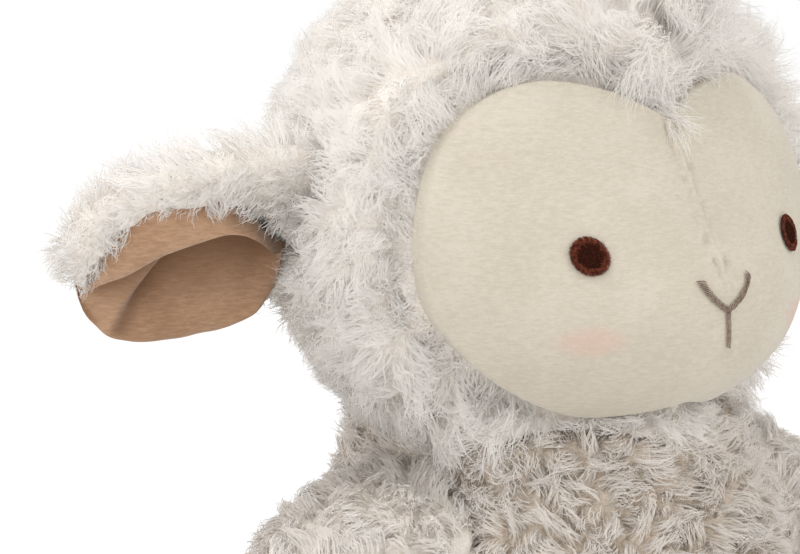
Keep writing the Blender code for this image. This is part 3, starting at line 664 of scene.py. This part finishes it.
def spread(mesh, count, rng, smooth_normals=None):
    """Points scattered evenly over a mesh, with its smooth normals there."""
    mesh.calc_loop_triangles()
    corners = np.empty(len(mesh.loop_triangles) * 3, np.int32)
    mesh.loop_triangles.foreach_get("vertices", corners)
    corners = corners.reshape(-1, 3)
    points = np.empty(len(mesh.vertices) * 3, np.float32)
    mesh.vertices.foreach_get("co", points)
    normals = np.empty(len(mesh.vertices) * 3, np.float32)
    mesh.vertices.foreach_get("normal", normals)
    points, normals = points.reshape(-1, 3).astype(float), normals.reshape(-1, 3).astype(float)
    if smooth_normals is not None:
        normals = smooth_normals
    a, b, c = (points[corners[:, k]] for k in range(3))
    area = np.linalg.norm(np.cross(b - a, c - a), axis=1)
    chosen = rng.choice(len(corners), count, p=area / area.sum())
    r, s = np.sqrt(rng.random(count)), rng.random(count)
    weights = np.stack([1 - r, r * (1 - s), r * s], 1)
    place = (points[corners[chosen]] * weights[:, :, None]).sum(1)
    normal = (normals[corners[chosen]] * weights[:, :, None]).sum(1)
    return place, unit(normal), area.sum() / 2, points, normals


def swirl(points, scale, seed):
    """A smooth random angle over space, so that neighbouring locks lie alike."""
    return np.array([noise.noise(Vector(p) * scale + Vector((seed, 0, 0))) for p in points.tolist()]) * 2 * math.pi


# Six tones of the one pile: strands and locks differ in tone at random, and the tones also carry painted shade and
# light: darker roots, a darker body and limbs, a lighter ear.
FUR_TONES = (
    (0.740, 0.660, 0.580), (0.840, 0.775, 0.705), (0.910, 0.862, 0.812),
    (0.942, 0.908, 0.872), (0.962, 0.938, 0.910), (0.978, 0.960, 0.940),
)
FUR_MIDDLE = 3.9  # the usual tone, counted from the darkest
STRAND_SPREAD = 0.12
LOCK_SPREAD = 0.24
# Strands are painted darker at the root and lighter at the tip: painted shade deep in the pile.
ROOT_SHADE_TO_TIP = (-0.75, 0.4)
SHINE_THROUGH = 0.36
ABOVE_FLOOR = 0.0004
FUR_LOOKS = []
for k, tone in enumerate(FUR_TONES):
    look = Look(f"plush_pile_{k + 1}", Base_Color=(*tone, 1), Roughness=0.9, Specular_IOR_Level=0.1)
    through = look.node("BsdfTranslucent", {0: (*tone, 1)})
    both = {0: SHINE_THROUGH, 1: Pin(look, look.shader.outputs[0]), 2: through}
    look.feed(look.output.inputs[0], look.node("MixShader", both))
    FUR_LOOKS.append(look)


def pile(
    name, body, skin, flow, count, length, spacing, parts=3, gather=0.6, lean=(0.5, 0.9), curl=1.0, frizz=0.0010,
    width=0.00033, shading=1, steps=4, mound=0.0012, stretch=0.6, unruly=0.55, where=None, longer=None, calm=None,
    seed=1, nodes=(), titles=None, tone=0.0, split=None,
):
    """Swells a skin under its locks, then grows the locks' strands on it, in one or more pieces."""
    rng = np.random.default_rng(seed)
    # A first small scatter only measures the skin's area
    _, _, area, _, _ = spread(skin.data, 8, rng)
    centres, centre_normals, _, points, normals = spread(skin.data, max(int(area / spacing**2), 8), rng)
    tree = KDTree(len(centres))
    for i, centre in enumerate(centres.tolist()):
        tree.insert(centre, i)
    tree.balance()
    along = flow(centres, centre_normals)
    along = unit(along - centre_normals * dot(along, centre_normals))
    loose = 1.0 if calm is None else calm(centres)[:, None]
    turn = (swirl(centres, 42.0, seed)[:, None] * 0.8 + rng.normal(0, unruly, (len(centres), 1))) * loose
    along = along * np.cos(turn) + np.cross(centre_normals, along) * np.sin(turn)

    def lock_of(places):
        """The lock that each place belongs to, and how deep inside it the place lies."""
        found = np.array([[hit[1] for hit in tree.find_n(p, 4)] for p in places.tolist()])
        offset = places[:, None, :] - (centres + along * spacing * 0.35)[found]
        run = (offset * along[found]).sum(-1)
        far = np.sqrt(np.maximum((offset**2).sum(-1) - (1 - stretch**2) * run**2, 0))
        order = np.argsort(far, 1)
        first, second = np.take_along_axis(far, order[:, :2], 1).T
        return np.take_along_axis(found, order[:, :1], 1)[:, 0], np.clip((second - first) / spacing, 0, 1)

    _, depth = lock_of(points)
    swell = mound * (np.sqrt(np.clip(depth * 1.6, 0, 1)) - 0.6)
    skin.data.vertices.foreach_set("co", (points + normals * swell[:, None]).astype(np.float32).ravel())
    skin.data.update()

    roots, out, _, _, _ = spread(skin.data, count, rng, normals)
    if where is not None:
        kept = rng.random(len(roots)) < where(roots, out)
        roots, out = roots[kept], out[kept]
    near, _ = lock_of(roots)
    lock_length = length * rng.uniform(0.75, 1.15, len(centres))
    lock_curl = curl * rng.normal(0, 1, len(centres))
    lock_lean = lean[1] * rng.uniform(0.7, 1.2, len(centres))

    n = len(roots)
    ahead = along[near] + rng.normal(0, 0.11, (n, 3))
    ahead = unit(ahead - out * dot(ahead, out))
    beside = np.cross(out, ahead)
    reach = (lock_length[near] * rng.uniform(0.62, 1.06, n))[:, None]
    if longer is not None:
        reach *= longer(roots, out)[:, None]
    to_middle = centres[near] - roots
    to_middle -= out * dot(to_middle, out) + ahead * dot(to_middle, ahead)
    wave = rng.normal(0, 1, (n, 3))
    spins = (lock_curl[near] + rng.normal(0, 0.2, n))[:, None]
    leans = (lock_lean[near] + rng.normal(0, 0.10, n))[:, None]
    place, points, ways = roots.copy(), [roots], []
    for k in range(steps):
        t = (k + 0.5) / steps
        tilt = lean[0] + leans * t
        spin = spins * t
        level = ahead * np.cos(spin) + beside * np.sin(spin)
        place = place + (out * np.cos(tilt) + level * np.sin(tilt)) * reach / steps
        t = (k + 1) / steps
        points.append(place + to_middle * gather * t**1.1 + frizz * t * np.sin(wave * 2.2 + 5.0 * t))
        ways.append(points[-1] - points[-2])
    points = np.stack(points, 1)
    ways = unit(np.stack(ways + [ways[-1]], 1))
    face_out = np.repeat(out[:, None, :], steps + 1, 1)
    sides = unit(np.cross(ways, face_out) + 1e-6)
    roll = np.clip(rng.normal(0, 0.6, (n, 1, 1)), -1.1, 1.1)
    sides = sides * np.cos(roll) + np.cross(ways, sides) * np.sin(roll)
    taper = (1 - np.linspace(0, 1, steps + 1) ** 2.5)[None, :, None] * width / 2 * rng.uniform(0.75, 1.25, (n, 1, 1))
    left, right = points - sides * taper, points + sides * taper
    for edge in (left, right):
        edge[:, :, 2] = np.maximum(edge[:, :, 2], ABOVE_FLOOR)
    verts = np.concatenate([left[:, :steps], right[:, :steps], left[:, steps:]], 1)
    each = 2 * steps + 1
    quads = np.array([[k, k + steps, k + steps + 1, k + 1] for k in range(steps - 1)])
    tip = np.array([steps - 1, 2 * steps - 1, 2 * steps])
    shade = FUR_MIDDLE + tone + rng.normal(0, STRAND_SPREAD, (n, 1))
    shade = shade + LOCK_SPREAD * rng.normal(0, 1, len(centres))[near][:, None]
    # Each strand runs from a painted-shade tone at its root to a lighter one at its tip.
    slots = np.clip(np.round(shade + np.linspace(*ROOT_SHADE_TO_TIP, steps)[None, :]), 0, 5).astype(np.int32)
    # Light falls on a strand much as it falls on the skin around it
    flat = np.cross(sides, ways)
    facing = unit(face_out + flat * np.sign(dot(flat, face_out)) * 0.18 + rng.normal(0, 0.04, (n, 1, 3)))
    facing = np.concatenate([facing[:, :steps], facing[:, :steps], facing[:, steps:]], 1)

    # Light passes through most of the fine strands: only some of each group's parts cast a shadow
    groups = [np.arange(n)]
    if split:
        groups = np.array_split(np.argsort(split(roots), kind="stable"), len(nodes))
    for group in groups:
        rng.shuffle(group)
    sets = [
        (f"{title}_{k + 1}", chosen, k)
        for group, title in zip(groups, titles or [name])
        for k, chosen in enumerate(np.array_split(group, parts))
    ]
    made = []
    for title, chosen, part in sets:
        m = len(chosen)
        mesh = bpy.data.meshes.new(name)
        mesh.vertices.add(m * each)
        mesh.vertices.foreach_set("co", verts[chosen].astype(np.float32).ravel())
        base = (np.arange(m) * each)[:, None]
        corners = np.concatenate([(base + quads.ravel()[None, :]), base + tip[None, :]], 1).ravel()
        sizes = np.tile([4] * (steps - 1) + [3], m)
        mesh.loops.add(len(corners))
        mesh.loops.foreach_set("vertex_index", corners.astype(np.int32))
        mesh.polygons.add(len(sizes))
        mesh.polygons.foreach_set("loop_start", (np.cumsum(sizes) - sizes).astype(np.int32))
        mesh.polygons.foreach_set("material_index", slots[chosen].ravel())
        mesh.update(calc_edges=True)
        mesh.shade_smooth()
        mesh.normals_split_custom_set_from_vertices(facing[chosen].reshape(-1, 3))
        tuft = bpy.data.objects.new(title, mesh)
        bpy.context.scene.collection.objects.link(tuft)
        for look in FUR_LOOKS:
            mesh.materials.append(look.material)
        tuft.visible_shadow = part < shading
        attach(tuft, body)
        made.append(tuft)
    for tuft, node in zip((made[0], made[-1]), nodes):
        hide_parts(node)


def chin_share(points):
    out = unit(points - np.array(HEAD))
    return np.clip(-out[:, 1] / 0.3, 0, 1) * np.clip((-out[:, 2] - 0.35) / 0.3, 0, 1)


HOOD_CLEAR = 0.0008  # no strand grows where the body is nearer than this
HOOD_PRESSED = 0.0018
NECK_HOLLOW = 0.030


def hood_flow(points, normals):
    """Away from the face, down at the back, and hanging at the chin."""
    away = unit((points - np.array((0, -0.09, 0.192))) * np.array((1, 0.6, 1))) + np.array((0, 0.35, -0.35))
    return away + chin_share(points)[:, None] * np.array((0, -0.55, -1.1))


def hood_calm(points):
    """Locks lie in every direction, but next to the face they are combed away from it."""
    return np.clip((from_rim(points) - 0.03) / 0.25, 0.15, 1)


def on_hood(points, normals):
    """Round the face, and not in the hollow that the neck fills."""
    open_air = room(torso_trees, points, normals) > HOOD_CLEAR
    socket = (np.linalg.norm(points[:, :2], axis=1) < NECK_HOLLOW) & (points[:, 2] < HEAD.z)
    return ((from_rim(points) > -0.002) & open_air & ~socket) * 1.0


def hood_length(points, normals):
    """Fuller over the brow, flatter at the back, long under the chin, and short along the face's edge."""
    out = unit(points - np.array(HEAD))
    front = np.clip((-out[:, 1] + 0.35) / 0.9, 0, 1)
    brow = front * np.clip((out[:, 2] + 0.1) / 0.5, 0, 1)
    left_brow = np.clip((out[:, 0] + out[:, 2] - 0.5) / 0.5, 0, 1) * front
    pressed = np.where(room(torso_trees, points, normals) < HOOD_PRESSED, 0.3, 1)
    fuller = 0.84 + 0.75 * brow + 0.60 * chin_share(points) + 0.5 * left_brow
    by_edge = 0.62 + 0.38 * np.clip((from_rim(points) - 0.01) / 0.13, 0, 1)
    return fuller * by_edge * pressed


pile(
    "hood_pile", "head", head_cloth, hood_flow, 138000, 0.0100, 0.0062,
    where=on_hood, gather=0.28, curl=1.5, frizz=0.0013, unruly=0.8, calm=hood_calm, parts=4, tone=0.25,
    longer=hood_length, seed=20, nodes=["hood_panel_right", "hood_panel_left"],
    titles=["hood_pile_right", "hood_pile_left"], split=lambda p: p[:, 0],
)


def at_brow(points, normals):
    """One loose tuft hangs over the brow at the seam."""
    off = np.hypot((points[:, 0] + 0.0060) / 0.0095, (from_rim(points) - 0.05) / 0.080)
    return (off < 1) * (points[:, 2] > HEAD.z) * 1.0


pile(
    "brow_tuft", "head", head_cloth, lambda p, n: np.tile((-0.25, -0.9, -1.0), (len(p), 1)), 260000, 0.0165, 0.0060,
    where=at_brow, gather=0.50, lean=(0.6, 1.0), mound=0.0, parts=2, seed=21,
)


# Ears: cupped leaves sewn in along a skewed root. The back is pile over a soft filling, and the inner side is lined
# with tan velboa, rolled out at its upper edge, hollow below that and pleated towards the tip.
EAR_ROOT = Vector((0.0700, 0.0150, 0.1965))
EAR_HINGE = Vector((-0.0135, 0.0350, -0.0450))
EAR_SWEEP = math.radians(25)
EAR_DROOP = math.radians(13)
EAR_LENGTH = 0.067


def ear_frame(side):
    up = Vector((-side * EAR_HINGE.x, -EAR_HINGE.y, -EAR_HINGE.z)).normalized()
    ahead = Vector((
        side * math.cos(EAR_SWEEP) * math.cos(EAR_DROOP),
        math.sin(EAR_SWEEP) * math.cos(EAR_DROOP),
        -math.sin(EAR_DROOP),
    ))
    square = (ahead - up * ahead.dot(up)).normalized()
    return Vector((side * EAR_ROOT.x, EAR_ROOT.y, EAR_ROOT.z)), ahead, up, square.cross(up) * side


LINING_END = 0.925
# Across the lining, from under the pile at its upper edge to behind its lower one: place down it, lift off the ear
LINING_ROWS = (
    (-0.07, 0.0045), (0.04, 0.0090), (0.12, 0.0112), (0.19, 0.0108), (0.222, 0.0086), (0.205, 0.0052),
    (0.215, 0.0016), (0.25, -0.0022), (0.44, -0.0032), (0.65, -0.0008), (0.81, 0.0036), (0.925, 0.0072),
    (1.0, 0.0070), (1.015, 0.0030), (0.985, -0.0020),
)
# Along the ear from its root to its tip: the lining's upper edge, its lower edge, and the lip's share of its width
LINING_TOPS = (-0.0110, -0.0030, 0.0070, 0.0130, 0.0162, 0.0176, 0.0190, 0.0186, 0.0165, 0.0140)
LINING_FEET = (-0.0220, -0.0278, -0.0310, -0.0318, -0.0312, -0.0302, -0.0285, -0.0262, -0.0240, -0.0215)
LINING_LIPS = (0.02, 0.02, 0.03, 0.05, 0.10, 0.15, 0.20, 0.27, 0.31, 0.32)


def lining_edges(v):
    """The lining's upper and lower edge, rounded together at its end."""
    shut = math.sqrt(max(1 - (max(v - 0.74, 0) / 0.26) ** 2, 0))
    return (mix(-0.0030, spline(table, v), 0.06 + 0.94 * shut) for table in (LINING_TOPS, LINING_FEET))


def lining_shape(u, v):
    """Place along the ear, height, lift off the ear, and how far beyond the pleat that ends the hollow."""
    t = mix(0.05, LINING_END, v)
    lip = spline(LINING_LIPS, v)
    top, foot = lining_edges(v)
    down = spline([row[0] for row in LINING_ROWS], u)
    lift = spline([row[1] for row in LINING_ROWS], u)
    down = down * lip / 0.2 if down < 0.2 else mix(lip, 1, (down - 0.2) / 0.8)
    height = mix(top, foot, down)
    beyond = t - (0.57 + (0.004 - height) * 9.3)
    inside = smooth((u - 0.36) / 0.08) * smooth((0.90 - u) / 0.14)
    lift += inside * smooth(beyond / 0.18 + 0.6) * (0.0046 - lift)
    lift += inside * (0.0018 * hump(beyond - 0.01, 0.045) - 0.0014 * hump(beyond + 0.11, 0.07))
    lift -= 0.0040 * hump(t - 0.80, 0.07) * hump(u - 0.50, 0.09)
    lift = mix(0.0020, lift, smooth(v / 0.16)) - 0.0030 * smooth((v - 0.80) / 0.2)
    edge = 1 - smooth(min(v, 1 - v) / 0.04)
    return t, height, lift + 0.0005 * noise.noise(Vector((height * 160, t * 9, 4))) - 0.0040 * edge * edge, beyond


def lining_skin(side, u, v, depth):
    root, ahead, up, out = ear_frame(side)
    t, height, lift, _ = lining_shape(u, v)
    return root + ahead * EAR_LENGTH * t + up * height + out * (lift - depth)


# The stuffed ear's upper edge and its lower one, along it from its root to its tip
CORE_TOPS = (0.0225, 0.0260, 0.0282, 0.0296, 0.0304, 0.0305, 0.0302, 0.0292, 0.0272, 0.0245, 0.0200)
CORE_FEET = (-0.0205, -0.0262, -0.0300, -0.0308, -0.0304, -0.0294, -0.0276, -0.0244, -0.0185, -0.0100, -0.0020)


def lining_painted_shade(u, v):
    """Painted shade in the hollow, darkest under the lip and beside the pleat, where the lining is shaded. The nap lies
    the other way in the hollow.
    """
    _, _, lift, beyond = lining_shape(u, v)
    hollow = smooth((0.0050 - lift) / 0.0065) * mix(0.60, 0.25, smooth((u - 0.50) / 0.28))
    under_lip = 0.85 * hump(u - 0.530, 0.085) * smooth(v / 0.1) * smooth((1 - v) / 0.1)
    beside = 0.60 * hump(beyond + 0.07, 0.06) * smooth((0.86 - u) / 0.1)
    return min((hollow + under_lip + beside) * smooth((u - 0.39) / 0.05), 1)


def ear_core(side, turn, v):
    """The stuffed ear under its pile, thick above the lining and thin behind it."""
    root, ahead, up, out = ear_frame(side)
    t = math.sin(math.pi / 2 * v) * 0.975
    height, thick = math.cos(turn), math.sin(turn)
    edge, foot = spline(CORE_TOPS, t), spline(CORE_FEET, t)
    shut = math.sqrt(max(1 - (max(t - 0.87, 0) / 0.105) ** 2, 0.0))
    level = (edge + foot) / 2 + (edge - foot) / 2 * height * shut
    lining_top, lining_foot = lining_edges(min(max((t - 0.05) / (LINING_END - 0.05), 0), 1))
    above = smooth((max(level - lining_top, min(lining_foot - level, (t - 0.7) * 0.03)) + 0.001) / 0.005)
    down = (lining_top - level) / max(lining_top - lining_foot, 0.001)
    behind = np.interp(down, *zip(*LINING_ROWS[7:13])) - 0.0032
    lift = mix(behind, 0.0020, above)
    round_off = math.copysign(abs(thick) ** mix(1, 0.55, above), thick)
    depth = mix(0.0004, 0.0072, above) if thick > 0 else mix(0.0020, 0.0060, above)
    lift += depth * round_off * mix(0.4, 1, shut)
    return root + ahead * EAR_LENGTH * (t - 0.05 * (1 - v)) + up * level + out * lift


lining_look = nap("tan_velboa", (0.565, 0.362, 0.235), (0.415, 0.248, 0.150), (300, 300, 1300))
# Painted shade: the attribute darkens the tan lining towards deep brown in the hollow, under the lip and beside the
# pleat.
painted_shade = lining_look.node("Attribute", out=2, attribute_name="painted_shade")
lining_look.set("Base Color", lining_look.colours(painted_shade * 0.88, lining_look.base, (0.200, 0.105, 0.056)))
ear_cloths, ear_linings = {}, {}
for side, hand in HANDS:
    lining = form(
        f"ear_lining_cloth_{hand}", 90, 64, lambda u, v: lining_skin(side, u, v, 0),
        lambda u, v: lining_skin(side, u, v, 0.0012), lining_painted_shade,
    )
    ear_linings[hand] = settle(lining, f"ear_{hand}", lining_look, "tan_short_pile", f"ear_lining_{hand}")
    core = form(f"ear_underpile_{hand}", 48, 30, lambda u, v: ear_core(side, 2 * math.pi * u, v))
    ear_cloths[hand] = settle(core, f"ear_{hand}", fur_cloth, "cream_long_pile")


def ear_flow(side):
    root, ahead, up, out = (np.array(axis) for axis in ear_frame(side))

    def flow(points, normals):
        """Towards the tip and away from the lining."""
        height = ((points - root) @ up)[:, None]
        return np.tile(ahead * 0.9 + out * 0.1, (len(points), 1)) + up * np.clip(height / 0.02, 0, 1) * 0.7

    return flow


def ear_length(side):
    root, ahead, up, out = (np.array(axis) for axis in ear_frame(side))

    def longer(points, normals):
        """Long along the top, and flat behind the lining's lower edge."""
        height = (points - root) @ up
        inner = np.clip((normals @ out) / 0.5, 0, 1)
        return (0.55 + 0.75 * np.clip((height + 0.022) / 0.04, 0, 1)) * (1 - 0.45 * inner)

    return longer


def off_lining(side, hand):
    _, _, up, out = ear_frame(side)
    tree = BVHTree.FromObject(ear_linings[hand], bpy.context.evaluated_depsgraph_get())

    def share(points, normals):
        covered = [tree.ray_cast(Vector(p) - out * 0.003, out, 0.02)[0] is not None for p in points.tolist()]
        behind = np.array(covered) & (normals @ np.array(out) > 0.25)
        return ~(behind | (normals @ np.array(up) < -0.45)) * 1.0

    return share


for side, hand in HANDS:
    # tone=0.4 makes the ear's strands a little lighter than the hood's: painted light, as the ear's top is lit more.
    pile(
        f"ear_pile_{hand}", f"ear_{hand}", ear_cloths[hand], ear_flow(side), 16000, 0.0100, 0.0056,
        where=off_lining(side, hand), longer=ear_length(side), lean=(0.5, 0.75), seed=30 + side,
        nodes=[f"ear_back_{hand}"], gather=0.45, unruly=0.3, mound=0.0008, parts=4, tone=0.4,
    )


# Body: two panels round a stuffed core over a pouch of beans that keeps the lamb seated. Its pile is shorter and
# tightly curled, and the head, arms and legs press it flat.
def resting(point, normal):
    """The pile is crushed under the seat."""
    return 1 - 0.75 * smooth((-normal.z - 0.55) / 0.35)


limb_trees = tree_of("arm_right", "arm_left", "leg_right", "leg_left", "tail")
off_limbs, off_head = snug(limb_trees, resting), snug(tree_of("hood_panel_left", "hood_panel_right"))
body_cloth = backing(
    "body_underpile", ["body_stuffing", "seat_bean_pouch", "body_front_panel", "body_back_panel"], 0.0030,
    keep=lambda p, n: off_limbs(p, n) * (1.8 * off_head(p, n) - 0.8),
)
# The body's underpile cloth is the darker one, with painted shade.
settle(body_cloth, "torso", curl_cloth_painted_shade, "cream_long_pile", "body_stuffing", "seat_bean_pouch")


def hang(points, normals):
    """Downwards and outwards, as curly pile hangs."""
    return np.stack([points[:, 0] * 3, points[:, 1] * 3, np.full(len(points), -0.8)], 1)


head_tree = [BVHTree.FromObject(head_cloth, bpy.context.evaluated_depsgraph_get())]
BODY_CLEAR = 0.0003


def on_body(points, normals):
    """Clear of the limbs, and not where the head presses."""
    return ((room(head_tree, points, normals) > BODY_CLEAR) & ~buried(limb_trees, points)) * 1.0


def body_length(points, normals):
    return np.clip(room(head_tree, points, normals) / 0.014, 0.3, 1)


CURLY = dict(
    gather=0.85, curl=1.9, lean=(0.35, 1.15), mound=0.0034, stretch=0.7, unruly=1.2, frizz=0.0004, width=0.00045,
    steps=3,
)
# tone=-1.5 makes the body's strands darker than the hood's: painted shade, mostly for the head's shadow over the body.
pile(
    "body_pile", "torso", body_cloth, hang, 88000, 0.0080, 0.0054, where=on_body, seed=40, tone=-1.5, shading=3,
    longer=body_length, nodes=["body_front_panel", "body_back_panel"], titles=["tummy_pile", "back_pile"],
    split=lambda p: np.arctan2(np.abs(p[:, 0]), -p[:, 1]), **CURLY,
)


# Arms: stuffed tubes that leave the shoulder square and bend down, sewn flat to the body's sides and jointed there.
for side, hand in HANDS:
    arm = backing(f"arm_underpile_{hand}", [f"arm_{hand}", f"arm_stuffing_{hand}"], 0.0028, keep=snug(torso_trees))
    settle(arm, f"arm_{hand}", fur_cloth, "cream_long_pile", f"arm_stuffing_{hand}")
    # tone=-0.8 makes the arms' strands darker than the hood's: painted shade, kept close to the body's.
    pile(
        f"arm_pile_{hand}", f"arm_{hand}", arm, hang, 20000, 0.0080, 0.0054, seed=50 + side, tone=-0.8, shading=2,
        where=lambda p, n: ~buried(torso_trees, p, 0.0015) * 1.0, nodes=[f"arm_{hand}"], **CURLY,
    )


# Legs: stuffed tubes that point forwards from rounded roots in the body's hollows, with a tan sole sewn into each foot.
LEG_ROOT = Vector((0.037, -0.050, 0.0230))
LEG_LENGTH = 0.086
LEG_RADIUS = 0.0235
LEG_HALF_WIDTH = 0.0225
LEG_SPLAY = math.radians(22)
SOLE_THICKNESS = 0.0022


def leg_frame(side):
    ahead = Vector((side * math.sin(LEG_SPLAY), -math.cos(LEG_SPLAY), 0))
    across = Vector((side * math.cos(LEG_SPLAY), math.sin(LEG_SPLAY), 0))
    return Vector((side * LEG_ROOT.x, LEG_ROOT.y, LEG_ROOT.z)), ahead, across


for side, hand in HANDS:
    root, ahead, across = leg_frame(side)
    leg_solids = [f"leg_{hand}", f"leg_stuffing_{hand}"]
    leg = backing(f"leg_underpile_{hand}", leg_solids, 0.0026, keep=snug(torso_trees, resting))
    settle(leg, f"leg_{hand}", fur_cloth, "cream_long_pile", f"leg_stuffing_{hand}")

    def on_leg(points, normals):
        along = (points - np.array(root)) @ np.array(ahead)
        foot = (normals @ np.array(ahead) > 0.75) & (along > LEG_LENGTH - 0.008)
        return ~(foot | buried(torso_trees, points)) * 1.0

    # tone=-0.9 makes the legs' strands darker than the hood's: painted shade, kept close to the body's.
    pile(
        f"leg_pile_{hand}", f"leg_{hand}", leg, hang, 13500, 0.0076, 0.0052, seed=60 + side, tone=-0.9, shading=2,
        where=on_leg, nodes=[f"leg_{hand}"], **CURLY,
    )

    def sole(u, v, depth=0.0):
        """A disc from its middle at v = 0 to its edge, which is turned in under the pile."""
        turn = 2 * math.pi * u
        lumps = noise.noise(Vector((v * math.cos(turn) * 3, v * math.sin(turn) * 3, 5)))
        dome = 0.0022 * (1 - v * v) + 0.0006 * lumps
        place = LEG_LENGTH + 0.0005 + SOLE_THICKNESS + dome - 0.0042 * smooth((v - 0.86) / 0.14) ** 2 - depth
        reach = (across * math.sin(turn) * LEG_HALF_WIDTH + Vector((0, 0, math.cos(turn))) * LEG_RADIUS) * 0.86 * v
        return root + ahead * place + reach

    pad = form(f"sole_{hand}", 64, 22, sole, lambda u, v: sole(u, v, 0.0016))
    settle(pad, f"leg_{hand}", lining_look, "tan_short_pile", f"sole_pad_{hand}")


# Tail: a small puff sewn to the back by its narrow root. Neck: a wad of stuffing that carries the head.
sewn_down = snug(torso_trees)
tail_cloth = backing("tail_underpile", ["tail"], 0.0024, 0.0016, 4, keep=lambda p, n: 1.9 * sewn_down(p, n) - 0.9)
settle(tail_cloth, "tail", fur_cloth, "cream_long_pile")
# tone=-0.8 makes the tail's strands darker than the hood's: painted shade, kept close to the body's.
pile(
    "tail_pile", "tail", tail_cloth, hang, 3000, 0.0070, 0.0040,
    where=lambda p, n: ~buried(tree_of("body_back_panel"), p) * 1.0, seed=70, nodes=["tail"], tone=-0.8,
)
wad = backing("neck_cloth", ["neck_wad"], 0.0010, 0.0022, 3)
# The neck wad wears the body's darker underpile cloth, with its painted shade.
settle(wad, "neck", curl_cloth_painted_shade, "white_polyester_stuffing", "neck_wad")

low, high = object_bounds()
